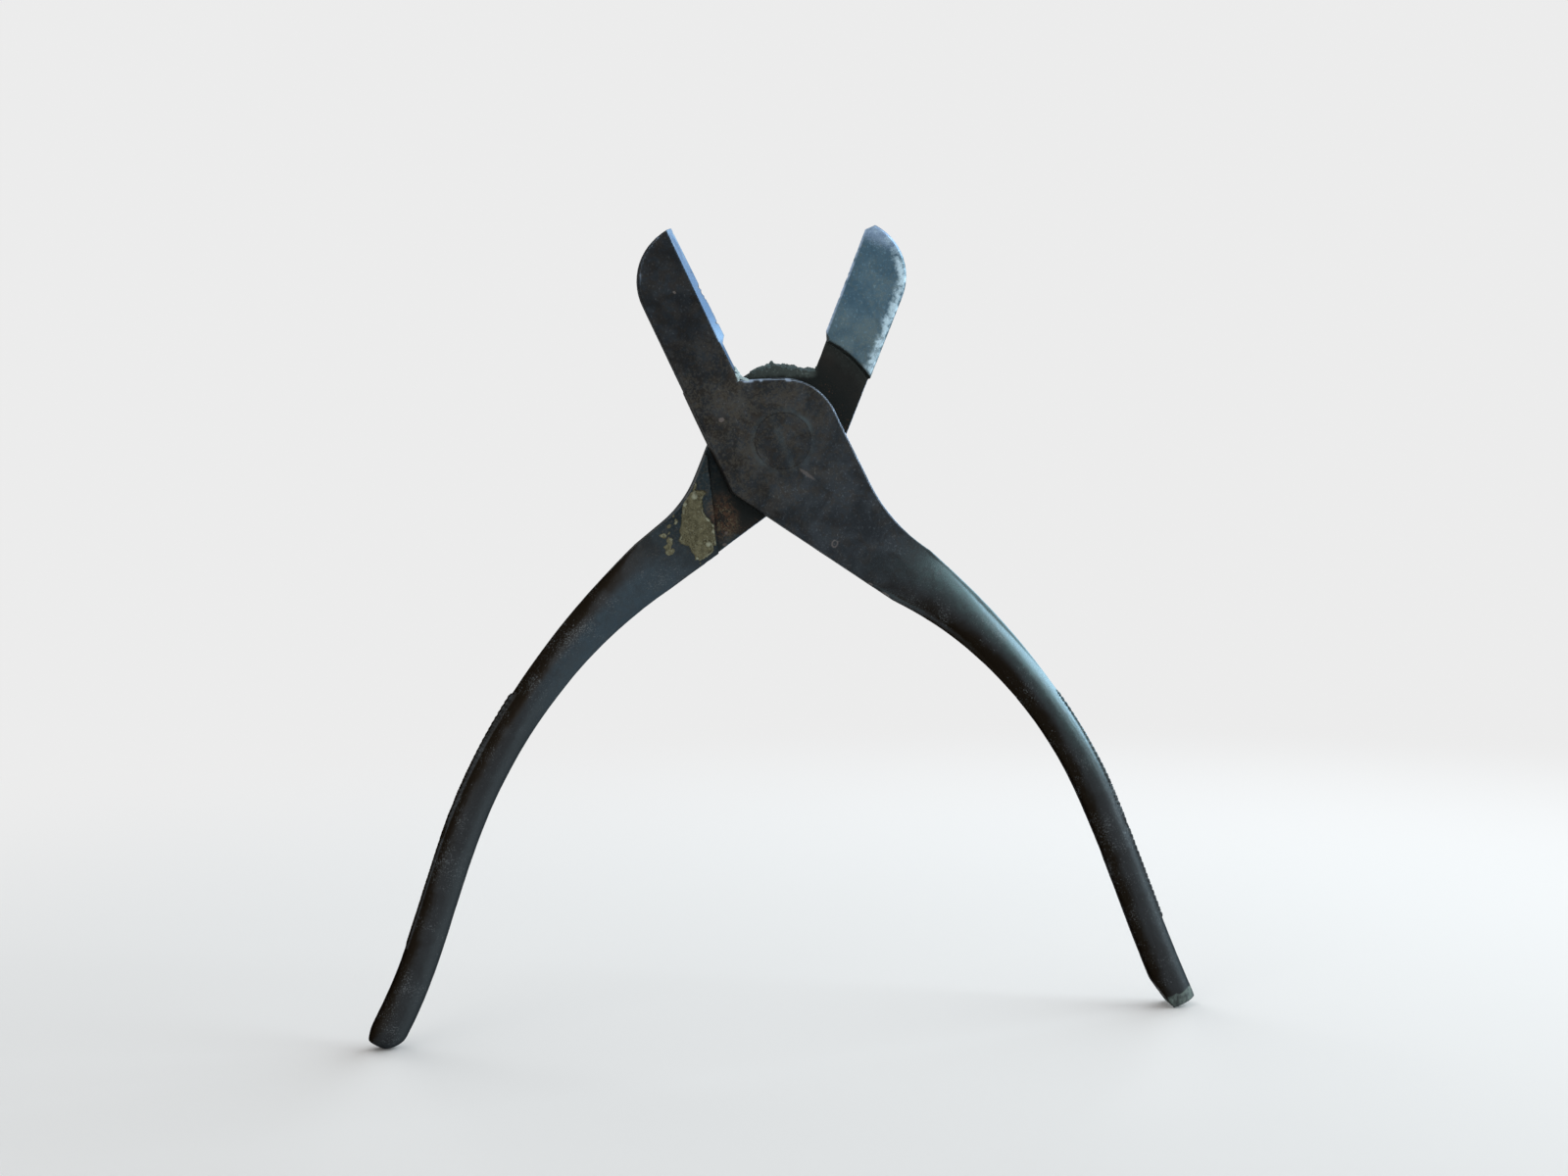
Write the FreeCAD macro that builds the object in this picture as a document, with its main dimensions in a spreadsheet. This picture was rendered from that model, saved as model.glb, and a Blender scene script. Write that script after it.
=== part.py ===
"""Forged lap-joint hand cutters: two forged halves turning on one flush rivet.

Frame of the assembly, in millimetres: +Z up through the jaws, the front face towards -Y, the
pivot axis along Y, and the origin where that axis leaves the flat back of the joint.  The tool
stands open on its two handle ends, which is its pose of rest.

Both halves are drawn in one frame of their own, the half frame, and only then placed.  There the
cutting edge points straight up at x = -edge_offset, the blade lies on its left, the handle bows
away to the lower right, and the outer face is the plane y = -joint_thickness.
"""
import FreeCAD
import Part
import Sketcher
import math
import os

SIZES = (
    # the joint, through its thickness
    ("joint_thickness", 13.0, "from the outer face of one half to the outer face of the other"),
    ("rear_cheek", 4.4, "thickness of the rear half where the front half laps over it"),
    ("shear_step", 3.5, "height of the step between the lap plane and the shear plane"),
    ("lap_gap", 0.2, "running gap between the two halves in the lap and shear planes"),
    # the blades
    ("edge_offset", 0.7, "distance of each cutting edge behind the pivot axis"),
    ("blade_reach", 50.7, "pivot axis to the end of the blade"),
    ("blade_width", 13.0, "cutting edge to the back of the blade"),
    ("rear_tip_trim", 1.9, "corner taken off the tip of the rear blade"),
    ("nose_flat", 0.8, "width of the flat end of the blade, between its edge and its round nose"),
    ("bevel_width", 2.3, "width of the ground bevel at the throat"),
    ("bevel_end_width", 1.5, "width of the ground bevel at the end of the blade"),
    ("throat_height", 24.2, "pivot axis to the lower end of the cutting edge"),
    ("throat_relief", 1.3, "depth of the relief below the cutting edge"),
    ("front_throat_root", 15.6, "pivot axis to the corner between blade and cheek, front half"),
    ("rear_throat_root", 17.0, "pivot axis to the corner between blade and cheek, rear half"),
    ("arris", 0.5, "round on the edges of the outer faces"),
    ("back_round", 1.0, "round along the back of the rear blade, on its shear face"),
    # the cheeks
    ("cheek_shift", 0.7, "cheek round, its centre to the side of the pivot axis"),
    ("front_cheek_rise", 1.0, "cheek round, its centre above the pivot axis, front half"),
    ("rear_cheek_rise", 3.2, "cheek round, its centre above the pivot axis, rear half"),
    ("front_cheek_radius", 12.2, "cheek round of the front half"),
    ("rear_cheek_radius", 13.2, "cheek round of the rear half"),
    ("cheek_slope", 65.0, "angle at which the cheek round meets the neck line"),
    ("front_waist_share", 0.9, "share of the waist that is curved, front half, the rest straight"),
    ("rear_waist_share", 0.47, "share of the waist that is curved, rear half, the rest straight"),
    ("boss_radius", 23.2, "concentric step behind the front half"),
    ("recess_radius", 23.7, "concentric shoulder in the rear half"),
    ("shoulder_distance", 15.9, "pivot axis to the lower shoulder of the rear half"),
    ("shoulder_angle", 28.0, "lean of the lower shoulder from the cutting edge"),
    ("shoulder_rise", 12.0, "lower shoulder line, its run above the point nearest the pivot"),
    ("shoulder_fall", 40.0, "lower shoulder line, its run below the point nearest the pivot"),
    ("front_heel_width", 14.5, "pivot line to the back of the joint, front half"),
    ("rear_heel_width", 13.4, "pivot line to the back of the joint, rear half"),
    ("front_heel_drop", 5.2, "pivot axis down to the heel corner, front half"),
    ("rear_heel_drop", 0.8, "pivot axis down to the heel corner, rear half"),
    ("heel_round", 3.0, "round on the heel corner"),
    # the handles
    ("root_angle", 30.0, "slope of the handle where it leaves the joint"),
    ("front_apex_x", 28.2, "widest point of the front handle, across"),
    ("front_apex_drop", 97.4, "widest point of the front handle, below the pivot"),
    ("front_bow_radius", 117.0, "bow of the front handle"),
    ("front_grip_angle", 5.1, "lean of the grip of the front handle"),
    ("front_grip_length", 44.07, "bow to the end of the front handle"),
    ("front_grip_width", 7.8, "width of the front handle along the grip"),
    ("front_end_width", 7.9, "width of the front handle at its end"),
    ("front_kick", 0.5, "how far the end of the front handle kicks outward"),
    ("front_root_width", 13.4, "width of the front handle at its root"),
    ("rear_apex_x", 33.5, "widest point of the rear handle, across"),
    ("rear_apex_drop", 102.0, "widest point of the rear handle, below the pivot"),
    ("rear_bow_radius", 134.0, "bow of the rear handle"),
    ("rear_grip_angle", 3.2, "lean of the grip of the rear handle"),
    ("rear_grip_length", 38.6, "bow to the start of the nose of the rear handle"),
    ("rear_grip_width", 7.9, "width of the rear handle along the grip"),
    ("rear_end_width", 8.0, "width of the rear handle at the start of its nose"),
    ("rear_kick", 1.7, "how far the end of the rear handle kicks outward"),
    ("rear_root_width", 12.2, "width of the rear handle at its root"),
    ("grip_thickness", 8.0, "thickness of both handles along the grip"),
    ("kick_run", 20.0, "length of the kick at the end of both handles"),
    ("front_pad_rise", 0.35, "height of the serrated pad at its upper end, front handle"),
    ("rear_pad_rise", 0.65, "height of the serrated pad at its upper end, rear handle"),
    ("pad_end_rise", 0.15, "height of both serrated pads from the end of the bow down"),
    ("pad_width", 4.6, "width of the serrated pad"),
    ("grip_corner", 3.7, "corner round of the grip section"),
    ("front_pad_angle", 10.0, "where the front pad starts on the bow, above the widest point"),
    ("rear_pad_angle", 12.6, "where the rear pad starts on the bow, above the widest point"),
    ("pad_ramp", 1.5, "angle over which the pad rises"),
    ("pad_round", 0.6, "round along both edges of the pad"),
    ("front_pad_run", 24.0, "length of the front pad below the bow"),
    ("rear_pad_run", 20.0, "length of the rear pad below the bow"),
    ("pad_runout", 1.8, "length over which the pad falls away at its lower end"),
    ("pad_root", 2.1, "how deep the pad is rooted in the grip, from the grip's centre line"),
    ("end_trim_depth", 1.8, "corner taken off the cut end of the front handle, across"),
    ("end_trim_length", 8.0, "corner taken off the cut end of the front handle, along"),
    ("rear_nose_length", 3.6, "blunt nose on the end of the rear handle"),
    ("rear_nose_width", 4.4, "width of the blunt nose at its very end"),
    ("rear_nose_shift", 1.0, "how far the blunt nose leans to the outside"),
    # the rivet
    ("rivet_diameter", 8.0, "shank of the pivot rivet"),
    ("rivet_head", 12.0, "flush head of the pivot rivet"),
    ("rivet_sink", 2.0, "depth of each countersunk head"),
    ("rivet_clearance", 0.05, "radial running clearance of the front half on the rivet"),
    # the cuts
    ("overrun", 2.0, "how far every cut runs past the material"),
    # the pose of rest
    ("front_opening", 25.1, "lean of the front cutting edge from the vertical"),
    ("rear_opening", 22.7, "lean of the rear cutting edge from the vertical"),
)

THICKNESS = "sizes.joint_thickness"
REAR_FULL = "(sizes.rear_cheek + sizes.shear_step)"
FRONT_FULL = f"({THICKNESS} - sizes.rear_cheek - sizes.lap_gap)"
NOSE = "(sizes.blade_width - sizes.nose_flat)"

# Shares of the bow, from the root of a handle to its grip, at which its section is drawn.
BOW_STATIONS = (0.0, 0.2, 0.4, 0.6, 0.8, 1.0)
# Shares of the outward kick at the end of a handle at which its section is drawn.
KICK_STATIONS = (0.0, 0.5, 1.0)
# Shares of the blunt nose at which its section is drawn.
NOSE_STATIONS = (0.0, 0.6, 1.0)
# How near, in millimetres, an edge's middle lies to the place it is looked for.
NEAR = 0.02
# The same for the two long edges of a pad, whose middles are only nearly known.
RIDGE_NEAR = 0.5

doc = FreeCAD.newDocument("lap_joint_cutters")
sizes = doc.addObject("Spreadsheet::Sheet", "sizes")
for row, (alias, number, meaning) in enumerate(SIZES, start=1):
    sizes.set(f"A{row}", alias)
    sizes.set(f"B{row}", str(number))
    sizes.set(f"C{row}", meaning)
    sizes.setAlias(f"B{row}", alias)
doc.recompute()


def number(owner, expression):
    """The present value of an expression over the sheet, as a float."""
    result = owner.evalExpression(expression)
    return float(getattr(result, "Value", result))


# ---------------------------------------------------------------- sketches and features

def sketch_on(body, name, role, lift="0"):
    """A sketch on an origin plane of its own body, lifted along the plane's normal."""
    plane = next(item for item in body.Origin.OriginFeatures if item.Role == role)
    sketch = body.newObject("Sketcher::SketchObject", name)
    sketch.AttachmentSupport = [(plane, "")]
    sketch.MapMode = "FlatFace"
    sketch.setExpression("AttachmentOffset.Base.z", lift)
    return sketch


def bind_point(sketch, geometry, corner, across, up):
    """Ties one point of the sketch to two expressions."""
    for kind, expression in (("DistanceX", across), ("DistanceY", up)):
        index = sketch.addConstraint(
            Sketcher.Constraint(kind, -1, 1, geometry, corner, number(sketch, expression)))
        sketch.setExpression(f"Constraints[{index}]", expression)


def arc_between(start, end, radius, turn):
    """The minor arc from start to end, turning left (+1) or right (-1)."""
    chord = end - start
    rise = math.sqrt(max(radius ** 2 - chord.Length ** 2 / 4, 0.0))
    side = FreeCAD.Vector(-chord.y, chord.x, 0).normalize() * turn
    centre = (start + end) / 2 + side * rise
    first, last = (start, end) if turn > 0 else (end, start)
    angles = [math.atan2(point.y - centre.y, point.x - centre.x) for point in (first, last)]
    return Part.ArcOfCircle(Part.Circle(centre, FreeCAD.Vector(0, 0, 1), radius), *angles)


def closed_outline(sketch, corners):
    """Draws a closed outline whose corners and radii are expressions.

    Each corner is (across, up) for a straight side to the next corner, or
    (across, up, radius, turn) for an arc to it.
    """
    points = [FreeCAD.Vector(number(sketch, c[0]), number(sketch, c[1]), 0) for c in corners]
    ends = []
    for index, corner in enumerate(corners):
        start, end = points[index], points[(index + 1) % len(points)]
        if len(corner) == 2:
            geometry = sketch.addGeometry(Part.LineSegment(start, end), False)
            ends.append((geometry, 1, 2))
            continue
        radius, turn = corner[2], corner[3]
        arc = arc_between(start, end, number(sketch, radius), turn)
        geometry = sketch.addGeometry(arc, False)
        ends.append((geometry, 1, 2) if turn > 0 else (geometry, 2, 1))
        index_of_radius = sketch.addConstraint(Sketcher.Constraint("Radius", geometry, arc.Radius))
        sketch.setExpression(f"Constraints[{index_of_radius}]", radius)
    for index, (geometry, first, last) in enumerate(ends):
        following = ends[(index + 1) % len(ends)]
        sketch.addConstraint(
            Sketcher.Constraint("Coincident", geometry, last, following[0], following[1]))
        bind_point(sketch, geometry, first, corners[index][0], corners[index][1])


def feature(body, kind, name, **settings):
    """A PartDesign feature of the body; a text setting is an expression, others are values."""
    made = body.newObject(f"PartDesign::{kind}", name)
    for key, setting in settings.items():
        if isinstance(setting, str):
            made.setExpression(key, setting)
        else:
            setattr(made, key, setting)
    doc.recompute()
    return made


def cut(body, kind, name, **settings):
    """A feature that must take material away; it is turned round when it takes none."""
    before = body.Shape.Volume
    made = feature(body, kind, name, **settings)
    if body.Shape.Volume > before - NEAR:
        made.Reversed = True
        doc.recompute()
    if body.Shape.Volume > before - NEAR:
        raise ValueError(f"{body.Label}: {name} cuts nothing")
    return made


# ---------------------------------------------------------------- one forged half


class Half:
    """One forged half, drawn in the half frame and bound to the sheet."""

    def __init__(self, side, full):
        self.side = side
        self.full = full
        self.body = doc.addObject("PartDesign::Body", f"{side}_half")
        self.body.Label = f"{side}_half"

    def size(self, name):
        """The cell that belongs to this half."""
        return f"sizes.{self.side}_{name}"

    def on_bow(self, angle, outward="0"):
        """Across and up of a point of the bow, pushed outward from its centre line."""
        radius = self.size("bow_radius")
        reach = f"({radius} + {outward})"
        across = f"({self.size('apex_x')} - {radius} + {reach} * cos({angle}))"
        up = f"(-{self.size('apex_drop')} + {reach} * sin({angle}))"
        return across, up

    def on_grip(self, run, outward="0"):
        """Across and up of a point of the straight grip, a run below the end of the bow."""
        lean = self.size("grip_angle")
        across, up = self.on_bow(f"(-{lean})", outward)
        return f"({across} - {run} * sin({lean}))", f"({up} - {run} * cos({lean}))"

    # .... the flat forging: blade, cheek and root of the handle

    def plate(self):
        """The plan outline of blade, cheek and root, at the half's full thickness."""
        edge = "(-sizes.edge_offset)"
        back = "(-sizes.edge_offset - sizes.blade_width)"
        tip = "sizes.blade_reach"
        relief = "(-sizes.edge_offset - sizes.throat_relief)"
        heel = f"(-{self.size('heel_width')})"
        heel_up = f"(-{self.size('heel_drop')})"
        half_root = f"({self.size('root_width')} / 2)"
        inner = self.on_bow("sizes.root_angle", f"(-{half_root})")
        outer = self.on_bow("sizes.root_angle", half_root)
        fall = f"atan2({inner[0]} - {heel}; {heel_up} - {inner[1]})"
        round_run = f"(sizes.heel_round * tan({fall} / 2))"
        cheek = self.size("cheek_radius")
        centre = ("sizes.cheek_shift", self.size("cheek_rise"))
        flank = f"({centre[0]} + {cheek})"
        bulge = f"({outer[0]} - {flank})"
        curved = self.size("waist_share")
        turn = "sizes.root_angle"
        waist = f"({bulge} * {curved} / (1 - cos({turn})))"
        bend = (f"({flank} + {bulge} * {curved})",
                f"({outer[1]} + {bulge} * (1 - {curved}) / tan({turn}))")
        sketch = sketch_on(self.body, "plan", "XZ_Plane", f"{THICKNESS} - {self.full}")
        closed_outline(sketch, (
            (edge, tip),
            (f"{back} + {NOSE}", tip, NOSE, 1),
            (back, f"{tip} - {NOSE}"),
            (heel, f"{heel_up} + {round_run}", "sizes.heel_round", 1),
            (f"{heel} + {round_run} * sin({fall})", f"{heel_up} - {round_run} * cos({fall})"),
            inner,
            outer,
            (*bend, waist, -1),
            (flank, f"{bend[1]} + {waist} * sin({turn})"),
            (flank, centre[1], cheek, 1),
            (f"{centre[0]} + {cheek} * cos(sizes.cheek_slope)",
             f"{centre[1]} + {cheek} * sin(sizes.cheek_slope)"),
            (relief, self.size("throat_root")),
            (relief, "sizes.throat_height"),
            (edge, "sizes.throat_height + sizes.throat_relief"),
        ))
        feature(self.body, "Pad", "forging", Profile=sketch, Length=self.full)
        self.round_outer_arris()

    def edge_names(self, level, wanted):
        """Names of the edges that lie in the plane y = level and whose middle is wanted."""
        names = []
        for index, edge in enumerate(self.body.Shape.Edges, start=1):
            if any(abs(corner.Y - level) > NEAR for corner in edge.Vertexes):
                continue
            middle = edge.valueAt((edge.FirstParameter + edge.LastParameter) / 2)
            if abs(middle.y - level) < NEAR and wanted(middle):
                names.append(f"Edge{index}")
        return names

    def round_outer_arris(self):
        """Rounds the edges of the outer face, all but the ground side and the handle's root."""
        ground = number(self.body, "-sizes.edge_offset - sizes.throat_relief") - NEAR
        throat = number(self.body, self.size("throat_root"))
        root = [number(self.body, part) for part in self.on_bow("sizes.root_angle")]

        def wanted(middle):
            on_root = math.hypot(middle.x - root[0], middle.z - root[1]) < NEAR
            return not on_root and not (middle.x > ground and middle.z > throat)

        names = self.edge_names(-number(self.body, THICKNESS), wanted)
        feature(self.body, "Fillet", "outer_arris", Base=(self.body.Tip, names),
                Radius="sizes.arris")

    def round_back(self):
        """Rounds the back of the blade and its nose on the shear face."""
        back = number(self.body, "-sizes.edge_offset - sizes.blade_width")
        reach = number(self.body, "sizes.blade_reach")
        nose = number(self.body, NOSE)

        def wanted(middle):
            return middle.x < back + nose / 2 and 0 < middle.z < reach - NEAR

        level = number(self.body, f"-{THICKNESS} + {self.full}")
        names = self.edge_names(level, wanted)
        feature(self.body, "Fillet", "back_round", Base=(self.body.Tip, names),
                Radius="sizes.back_round")

    def bevel(self, thickness):
        """The ground bevel on the outer face, running down to the cutting edge."""
        sections = []
        for name, up, width in (
                ("bevel_foot", self.size("throat_root"), "sizes.bevel_width"),
                ("bevel_end", "sizes.blade_reach + sizes.overrun", "sizes.bevel_end_width")):
            sketch = sketch_on(self.body, name, "XY_Plane", up)
            above = f"sizes.overrun * ({width}) / {thickness}"
            outside = "-sizes.edge_offset + sizes.overrun"
            closed_outline(sketch, (
                (f"-sizes.edge_offset - ({width}) - {above}", f"-{THICKNESS} - sizes.overrun"),
                (outside, f"-{THICKNESS} - sizes.overrun"),
                (outside, f"-{THICKNESS} + {thickness}"),
                ("-sizes.edge_offset", f"-{THICKNESS} + {thickness}"),
            ))
            sections.append(sketch)
        feature(self.body, "SubtractiveLoft", "bevel", Profile=sections[0],
                Sections=sections[1:], Ruled=True)

    # .... the handle

    def section(self, name, place, angle, width, thickness, corner, depth):
        """A rounded rectangle square to the handle's centre line."""
        sketch = sketch_on(self.body, name, "XY_Plane")
        sketch.AttachmentOffset = FreeCAD.Placement(
            FreeCAD.Vector(), FreeCAD.Rotation(FreeCAD.Vector(0, -1, 0), 10))
        sketch.setExpression("AttachmentOffset.Base.x", place[0])
        sketch.setExpression("AttachmentOffset.Base.y", depth)
        sketch.setExpression("AttachmentOffset.Base.z", place[1])
        sketch.setExpression("AttachmentOffset.Rotation.Angle", angle)
        right, top = f"({width}) / 2", f"({thickness}) / 2"
        closed_outline(sketch, (
            (f"-({right}) + {corner}", f"-({top})"),
            (f"{right} - {corner}", f"-({top})", corner, 1),
            (right, f"-({top}) + {corner}"),
            (right, f"{top} - {corner}", corner, 1),
            (f"{right} - {corner}", top),
            (f"-({right}) + {corner}", top, corner, 1),
            (f"-({right})", f"{top} - {corner}"),
            (f"-({right})", f"-({top}) + {corner}", corner, 1),
        ))
        return sketch

    def bar_thickness(self, slim):
        """Thickness of the bar, given how much of the root is left in it."""
        return f"sizes.grip_thickness + ({self.full} - sizes.grip_thickness) * {slim}"

    def handle(self):
        """The bar, flat and wide at its root and nearly round along the grip."""
        sections = []
        grip = self.size("grip_width")
        for step, share in enumerate(BOW_STATIONS):
            left = f"{(1 - share) ** 2:.4f}"
            slim = f"{(1 - share) ** 3:.4f}"
            crisp = f"{(1 - share) ** 4:.4f}"
            angle = (f"(sizes.root_angle * {1 - share:.1f}"
                     f" - {self.size('grip_angle')} * {share:.1f})")
            width = f"{grip} + ({self.size('root_width')} - {grip}) * {slim}"
            corner = f"(sizes.grip_corner + (sizes.arris - sizes.grip_corner) * {crisp})"
            depth = f"-{THICKNESS} / 2 - ({THICKNESS} - {self.full}) / 2 * {left}"
            sections.append(self.section(f"bar_{step}", self.on_bow(angle), angle, width,
                                         self.bar_thickness(slim), corner, depth))
        for step, share in enumerate(KICK_STATIONS):
            run = f"({self.size('grip_length')} - sizes.kick_run * {1 - share:.1f})"
            place = self.on_grip(run, f"({self.size('kick')} * {share ** 2:.2f})")
            width = f"{grip} + ({self.size('end_width')} - {grip}) * {share:.1f}"
            sections.append(self.section(f"grip_{step}", place, self.kicked(share), width,
                                         "sizes.grip_thickness", "sizes.grip_corner",
                                         f"-{THICKNESS} / 2"))
        feature(self.body, "AdditiveLoft", "bar", Profile=sections[0], Sections=sections[1:])

    def kicked(self, share):
        """Direction of the grip at a share of its outward kick."""
        rise = f"(2 * {self.size('kick')} * {share:.1f})"
        return f"(atan2({rise}; sizes.kick_run) / (1 deg) - {self.size('grip_angle')})"

    def nose(self):
        """The blunt nose on the end of the handle, leaning a little to the outside."""
        sections = []
        end = self.size("end_width")
        for step, share in enumerate(NOSE_STATIONS):
            slim = f"{share ** 2:.4f}"
            run = f"({self.size('nose_length')} * {share:.1f})"
            drift = f"(2 * {self.size('kick')} / sizes.kick_run * {run})"
            outward = f"({self.size('kick')} + {drift} + {self.size('nose_shift')} * {slim})"
            place = self.on_grip(f"({self.size('grip_length')} + {run})", outward)
            narrow = f"({end} - {self.size('nose_width')}) * {slim}"
            sections.append(self.section(f"nose_{step}", place, self.kicked(1.0),
                                         f"{end} - {narrow}", f"sizes.grip_thickness - {narrow}",
                                         f"(sizes.grip_corner - {narrow} / 2)",
                                         f"-{THICKNESS} / 2"))
        feature(self.body, "AdditiveLoft", "nose", Profile=sections[0], Sections=sections[1:])

    def pad(self):
        """The raised pad along the outside of the grip."""
        half = f"({self.size('grip_width')} / 2)"
        rise = self.size("pad_rise")
        crest, low_crest = f"({half} + {rise})", f"({half} + sizes.pad_end_rise)"
        start = self.size("pad_angle")
        lean = f"(-{self.size('grip_angle')})"
        core = "sizes.pad_root"
        reach = f"({self.size('bow_radius')} + {low_crest})"
        depth = f"({self.size('bow_radius')} + {core})"
        run = self.size("pad_run")
        sketch = sketch_on(self.body, "pad_plan", "XZ_Plane",
                           f"{THICKNESS} / 2 - sizes.pad_width / 2")
        closed_outline(sketch, (
            self.on_bow(f"({start} + sizes.pad_ramp)", core),
            (*self.on_bow(start, crest), reach, -1),
            self.on_bow(lean, low_crest),
            self.on_grip(run, low_crest),
            self.on_grip(f"({run} + sizes.pad_runout)", core),
            (*self.on_bow(lean, core), depth, 1),
        ))
        feature(self.body, "Pad", "grip_pad", Profile=sketch, Length="sizes.pad_width")
        mean_rise = f"({half} + ({rise} + sizes.pad_end_rise) / 2)"
        ridges = [[number(self.body, part) for part in place] for place in (
            self.on_bow(f"(({start} + {lean}) / 2)", mean_rise),
            self.on_grip(f"({run} / 2)", low_crest))]

        def wanted(middle):
            return any(math.hypot(middle.x - ridge[0], middle.z - ridge[1]) < RIDGE_NEAR
                       for ridge in ridges)

        names = []
        for side in (-1, 1):
            level = number(self.body, f"-{THICKNESS} / 2 + sizes.pad_width / 2 * {side}")
            names += self.edge_names(level, wanted)
        feature(self.body, "Fillet", "pad_round", Base=(self.body.Tip, names),
                Radius="sizes.pad_round")

    # .... the joint

    def rivet_hole(self, clearance):
        """The bore for the rivet, countersunk in the outer face."""
        shank = f"(sizes.rivet_diameter / 2 + {clearance})"
        head = f"(sizes.rivet_head / 2 + {clearance})"
        sketch = sketch_on(self.body, "bore_profile", "XY_Plane")
        closed_outline(sketch, (
            ("0", f"-{THICKNESS} - sizes.overrun"),
            (head, f"-{THICKNESS} - sizes.overrun"),
            (head, f"-{THICKNESS}"),
            (shank, f"-{THICKNESS} + sizes.rivet_sink"),
            (shank, "sizes.overrun"),
            ("0", "sizes.overrun"),
        ))
        cut(self.body, "Groove", "bore", Profile=sketch, ReferenceAxis=(sketch, ["V_Axis"]),
            Angle=360.0)

    def lean_left(self):
        """Leans the finished half to the left by its opening, about the pivot axis."""
        self.body.Placement.Rotation = FreeCAD.Rotation(FreeCAD.Vector(0, -1, 0), 10)
        self.body.setExpression("Placement.Rotation.Angle", self.size("opening"))

    def flip_and_lean_right(self):
        """Turns the half over about its blade and leans it to the right by its opening."""
        half_lean = f"({self.size('opening')} / 2)"
        self.body.Placement.Rotation = FreeCAD.Rotation(FreeCAD.Vector(0.2, 0, 1), 180)
        self.body.setExpression("Placement.Rotation.Axis.x", f"sin({half_lean})")
        self.body.setExpression("Placement.Rotation.Axis.z", f"cos({half_lean})")
        self.body.setExpression("Placement.Base.y", f"-{THICKNESS}")


def make_front_half():
    """Left blade, front cheek and right-hand handle."""
    half = Half("front", FRONT_FULL)
    half.plate()
    blade = f"({FRONT_FULL} - sizes.shear_step)"
    step = sketch_on(half.body, "step_plan", "XZ_Plane", f"{THICKNESS} - {FRONT_FULL}")
    reach = "sizes.boss_radius"
    side = "(sizes.front_heel_width + sizes.overrun)"
    top = "sizes.blade_reach + sizes.overrun"
    level = f"sqrt({reach} ^ 2 - {side} ^ 2)"
    closed_outline(step, (
        (f"-{side}", level, reach, -1),
        (side, level),
        (side, top),
        (f"-{side}", top),
    ))
    cut(half.body, "Pocket", "shear_face", Profile=step, Length="sizes.shear_step")
    half.bevel(blade)
    half.handle()
    half.pad()
    half.rivet_hole("sizes.rivet_clearance")
    trim_front_end(half)
    half.lean_left()
    return half.body


def trim_front_end(half):
    """The cut end of the front handle, with its inner corner taken off."""
    trim = sketch_on(half.body, "end_trim", "XZ_Plane")
    side = f"-{half.size('grip_width')} / 2"
    length, kick = half.size("grip_length"), half.size("kick")
    taken, along = "sizes.end_trim_depth", "sizes.end_trim_length"
    closed_outline(trim, (
        half.on_grip(f"({length} - {along} * 1.3)", f"({side} - ({taken} + {kick}) * 0.3)"),
        half.on_grip(f"({length} + {along} * 0.3)", f"({side} + ({taken} + {kick}) * 1.3)"),
        half.on_grip(f"({length} + {along} * 0.3)", f"({side} - ({taken} + {kick}) * 0.3)"),
    ))
    cut(half.body, "Pocket", "trimmed_corner", Profile=trim, Length=THICKNESS)


def trim_rear_tip(half):
    """Takes the corner off the tip of the rear blade, through its full thickness."""
    trim = sketch_on(half.body, "tip_trim", "XZ_Plane")
    beyond = "(-sizes.edge_offset + sizes.overrun)"
    top = "(sizes.blade_reach + sizes.overrun)"
    taken = "sizes.rear_tip_trim"
    closed_outline(trim, (
        (f"(-sizes.edge_offset - {taken} - sizes.overrun)", top),
        (beyond, f"(sizes.blade_reach - {taken} - sizes.overrun)"),
        (beyond, top),
    ))
    cut(half.body, "Pocket", "trimmed_tip", Profile=trim,
        Length=f"{THICKNESS} + sizes.overrun")


def on_shoulder(run):
    """Across and up of a point of the lower shoulder line, a run above its nearest point."""
    lean, away = "sizes.shoulder_angle", "sizes.shoulder_distance"
    return (f"({away} * cos({lean}) + {run} * sin({lean}))",
            f"(-{away} * sin({lean}) + {run} * cos({lean}))")


def make_rear_half():
    """Right blade, rear cheek and left-hand handle."""
    half = Half("rear", REAR_FULL)
    half.plate()
    recess = sketch_on(half.body, "recess_plan", "XZ_Plane", f"{THICKNESS} - {REAR_FULL}")
    reach = "sizes.recess_radius"
    side = "(sizes.rear_heel_width + sizes.overrun)"
    level = f"sqrt({reach} ^ 2 - {side} ^ 2)"
    top = on_shoulder("sizes.shoulder_rise")
    foot = on_shoulder("(-sizes.shoulder_fall)")
    closed_outline(recess, (
        (f"-{side}", level, reach, -1),
        (side, level),
        top,
        foot,
        (f"-{side}", foot[1]),
    ))
    cut(half.body, "Pocket", "lap_recess", Profile=recess, Length="sizes.shear_step")
    half.round_back()
    half.bevel(REAR_FULL)
    trim_rear_tip(half)
    half.handle()
    half.nose()
    half.pad()
    half.rivet_hole("0")
    half.flip_and_lean_right()
    return half.body


def make_rivet():
    """The pivot rivet, both heads peened into their countersinks and dressed flush."""
    body = doc.addObject("PartDesign::Body", "pivot_rivet")
    body.Label = "pivot_rivet"
    sketch = sketch_on(body, "rivet_profile", "XY_Plane")
    shank, head = "sizes.rivet_diameter / 2", "sizes.rivet_head / 2"
    closed_outline(sketch, (
        ("0", "0"),
        ("0", f"-{THICKNESS}"),
        (head, f"-{THICKNESS}"),
        (shank, f"-{THICKNESS} + sizes.rivet_sink"),
        (shank, "-sizes.rivet_sink"),
        (head, "0"),
    ))
    feature(body, "Revolution", "rivet", Profile=sketch, ReferenceAxis=(sketch, ["V_Axis"]),
            Angle=360.0)
    return body


# ---------------------------------------------------------------- build, check and write

pieces = (make_front_half(), make_rear_half(), make_rivet())
doc.recompute()

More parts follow.
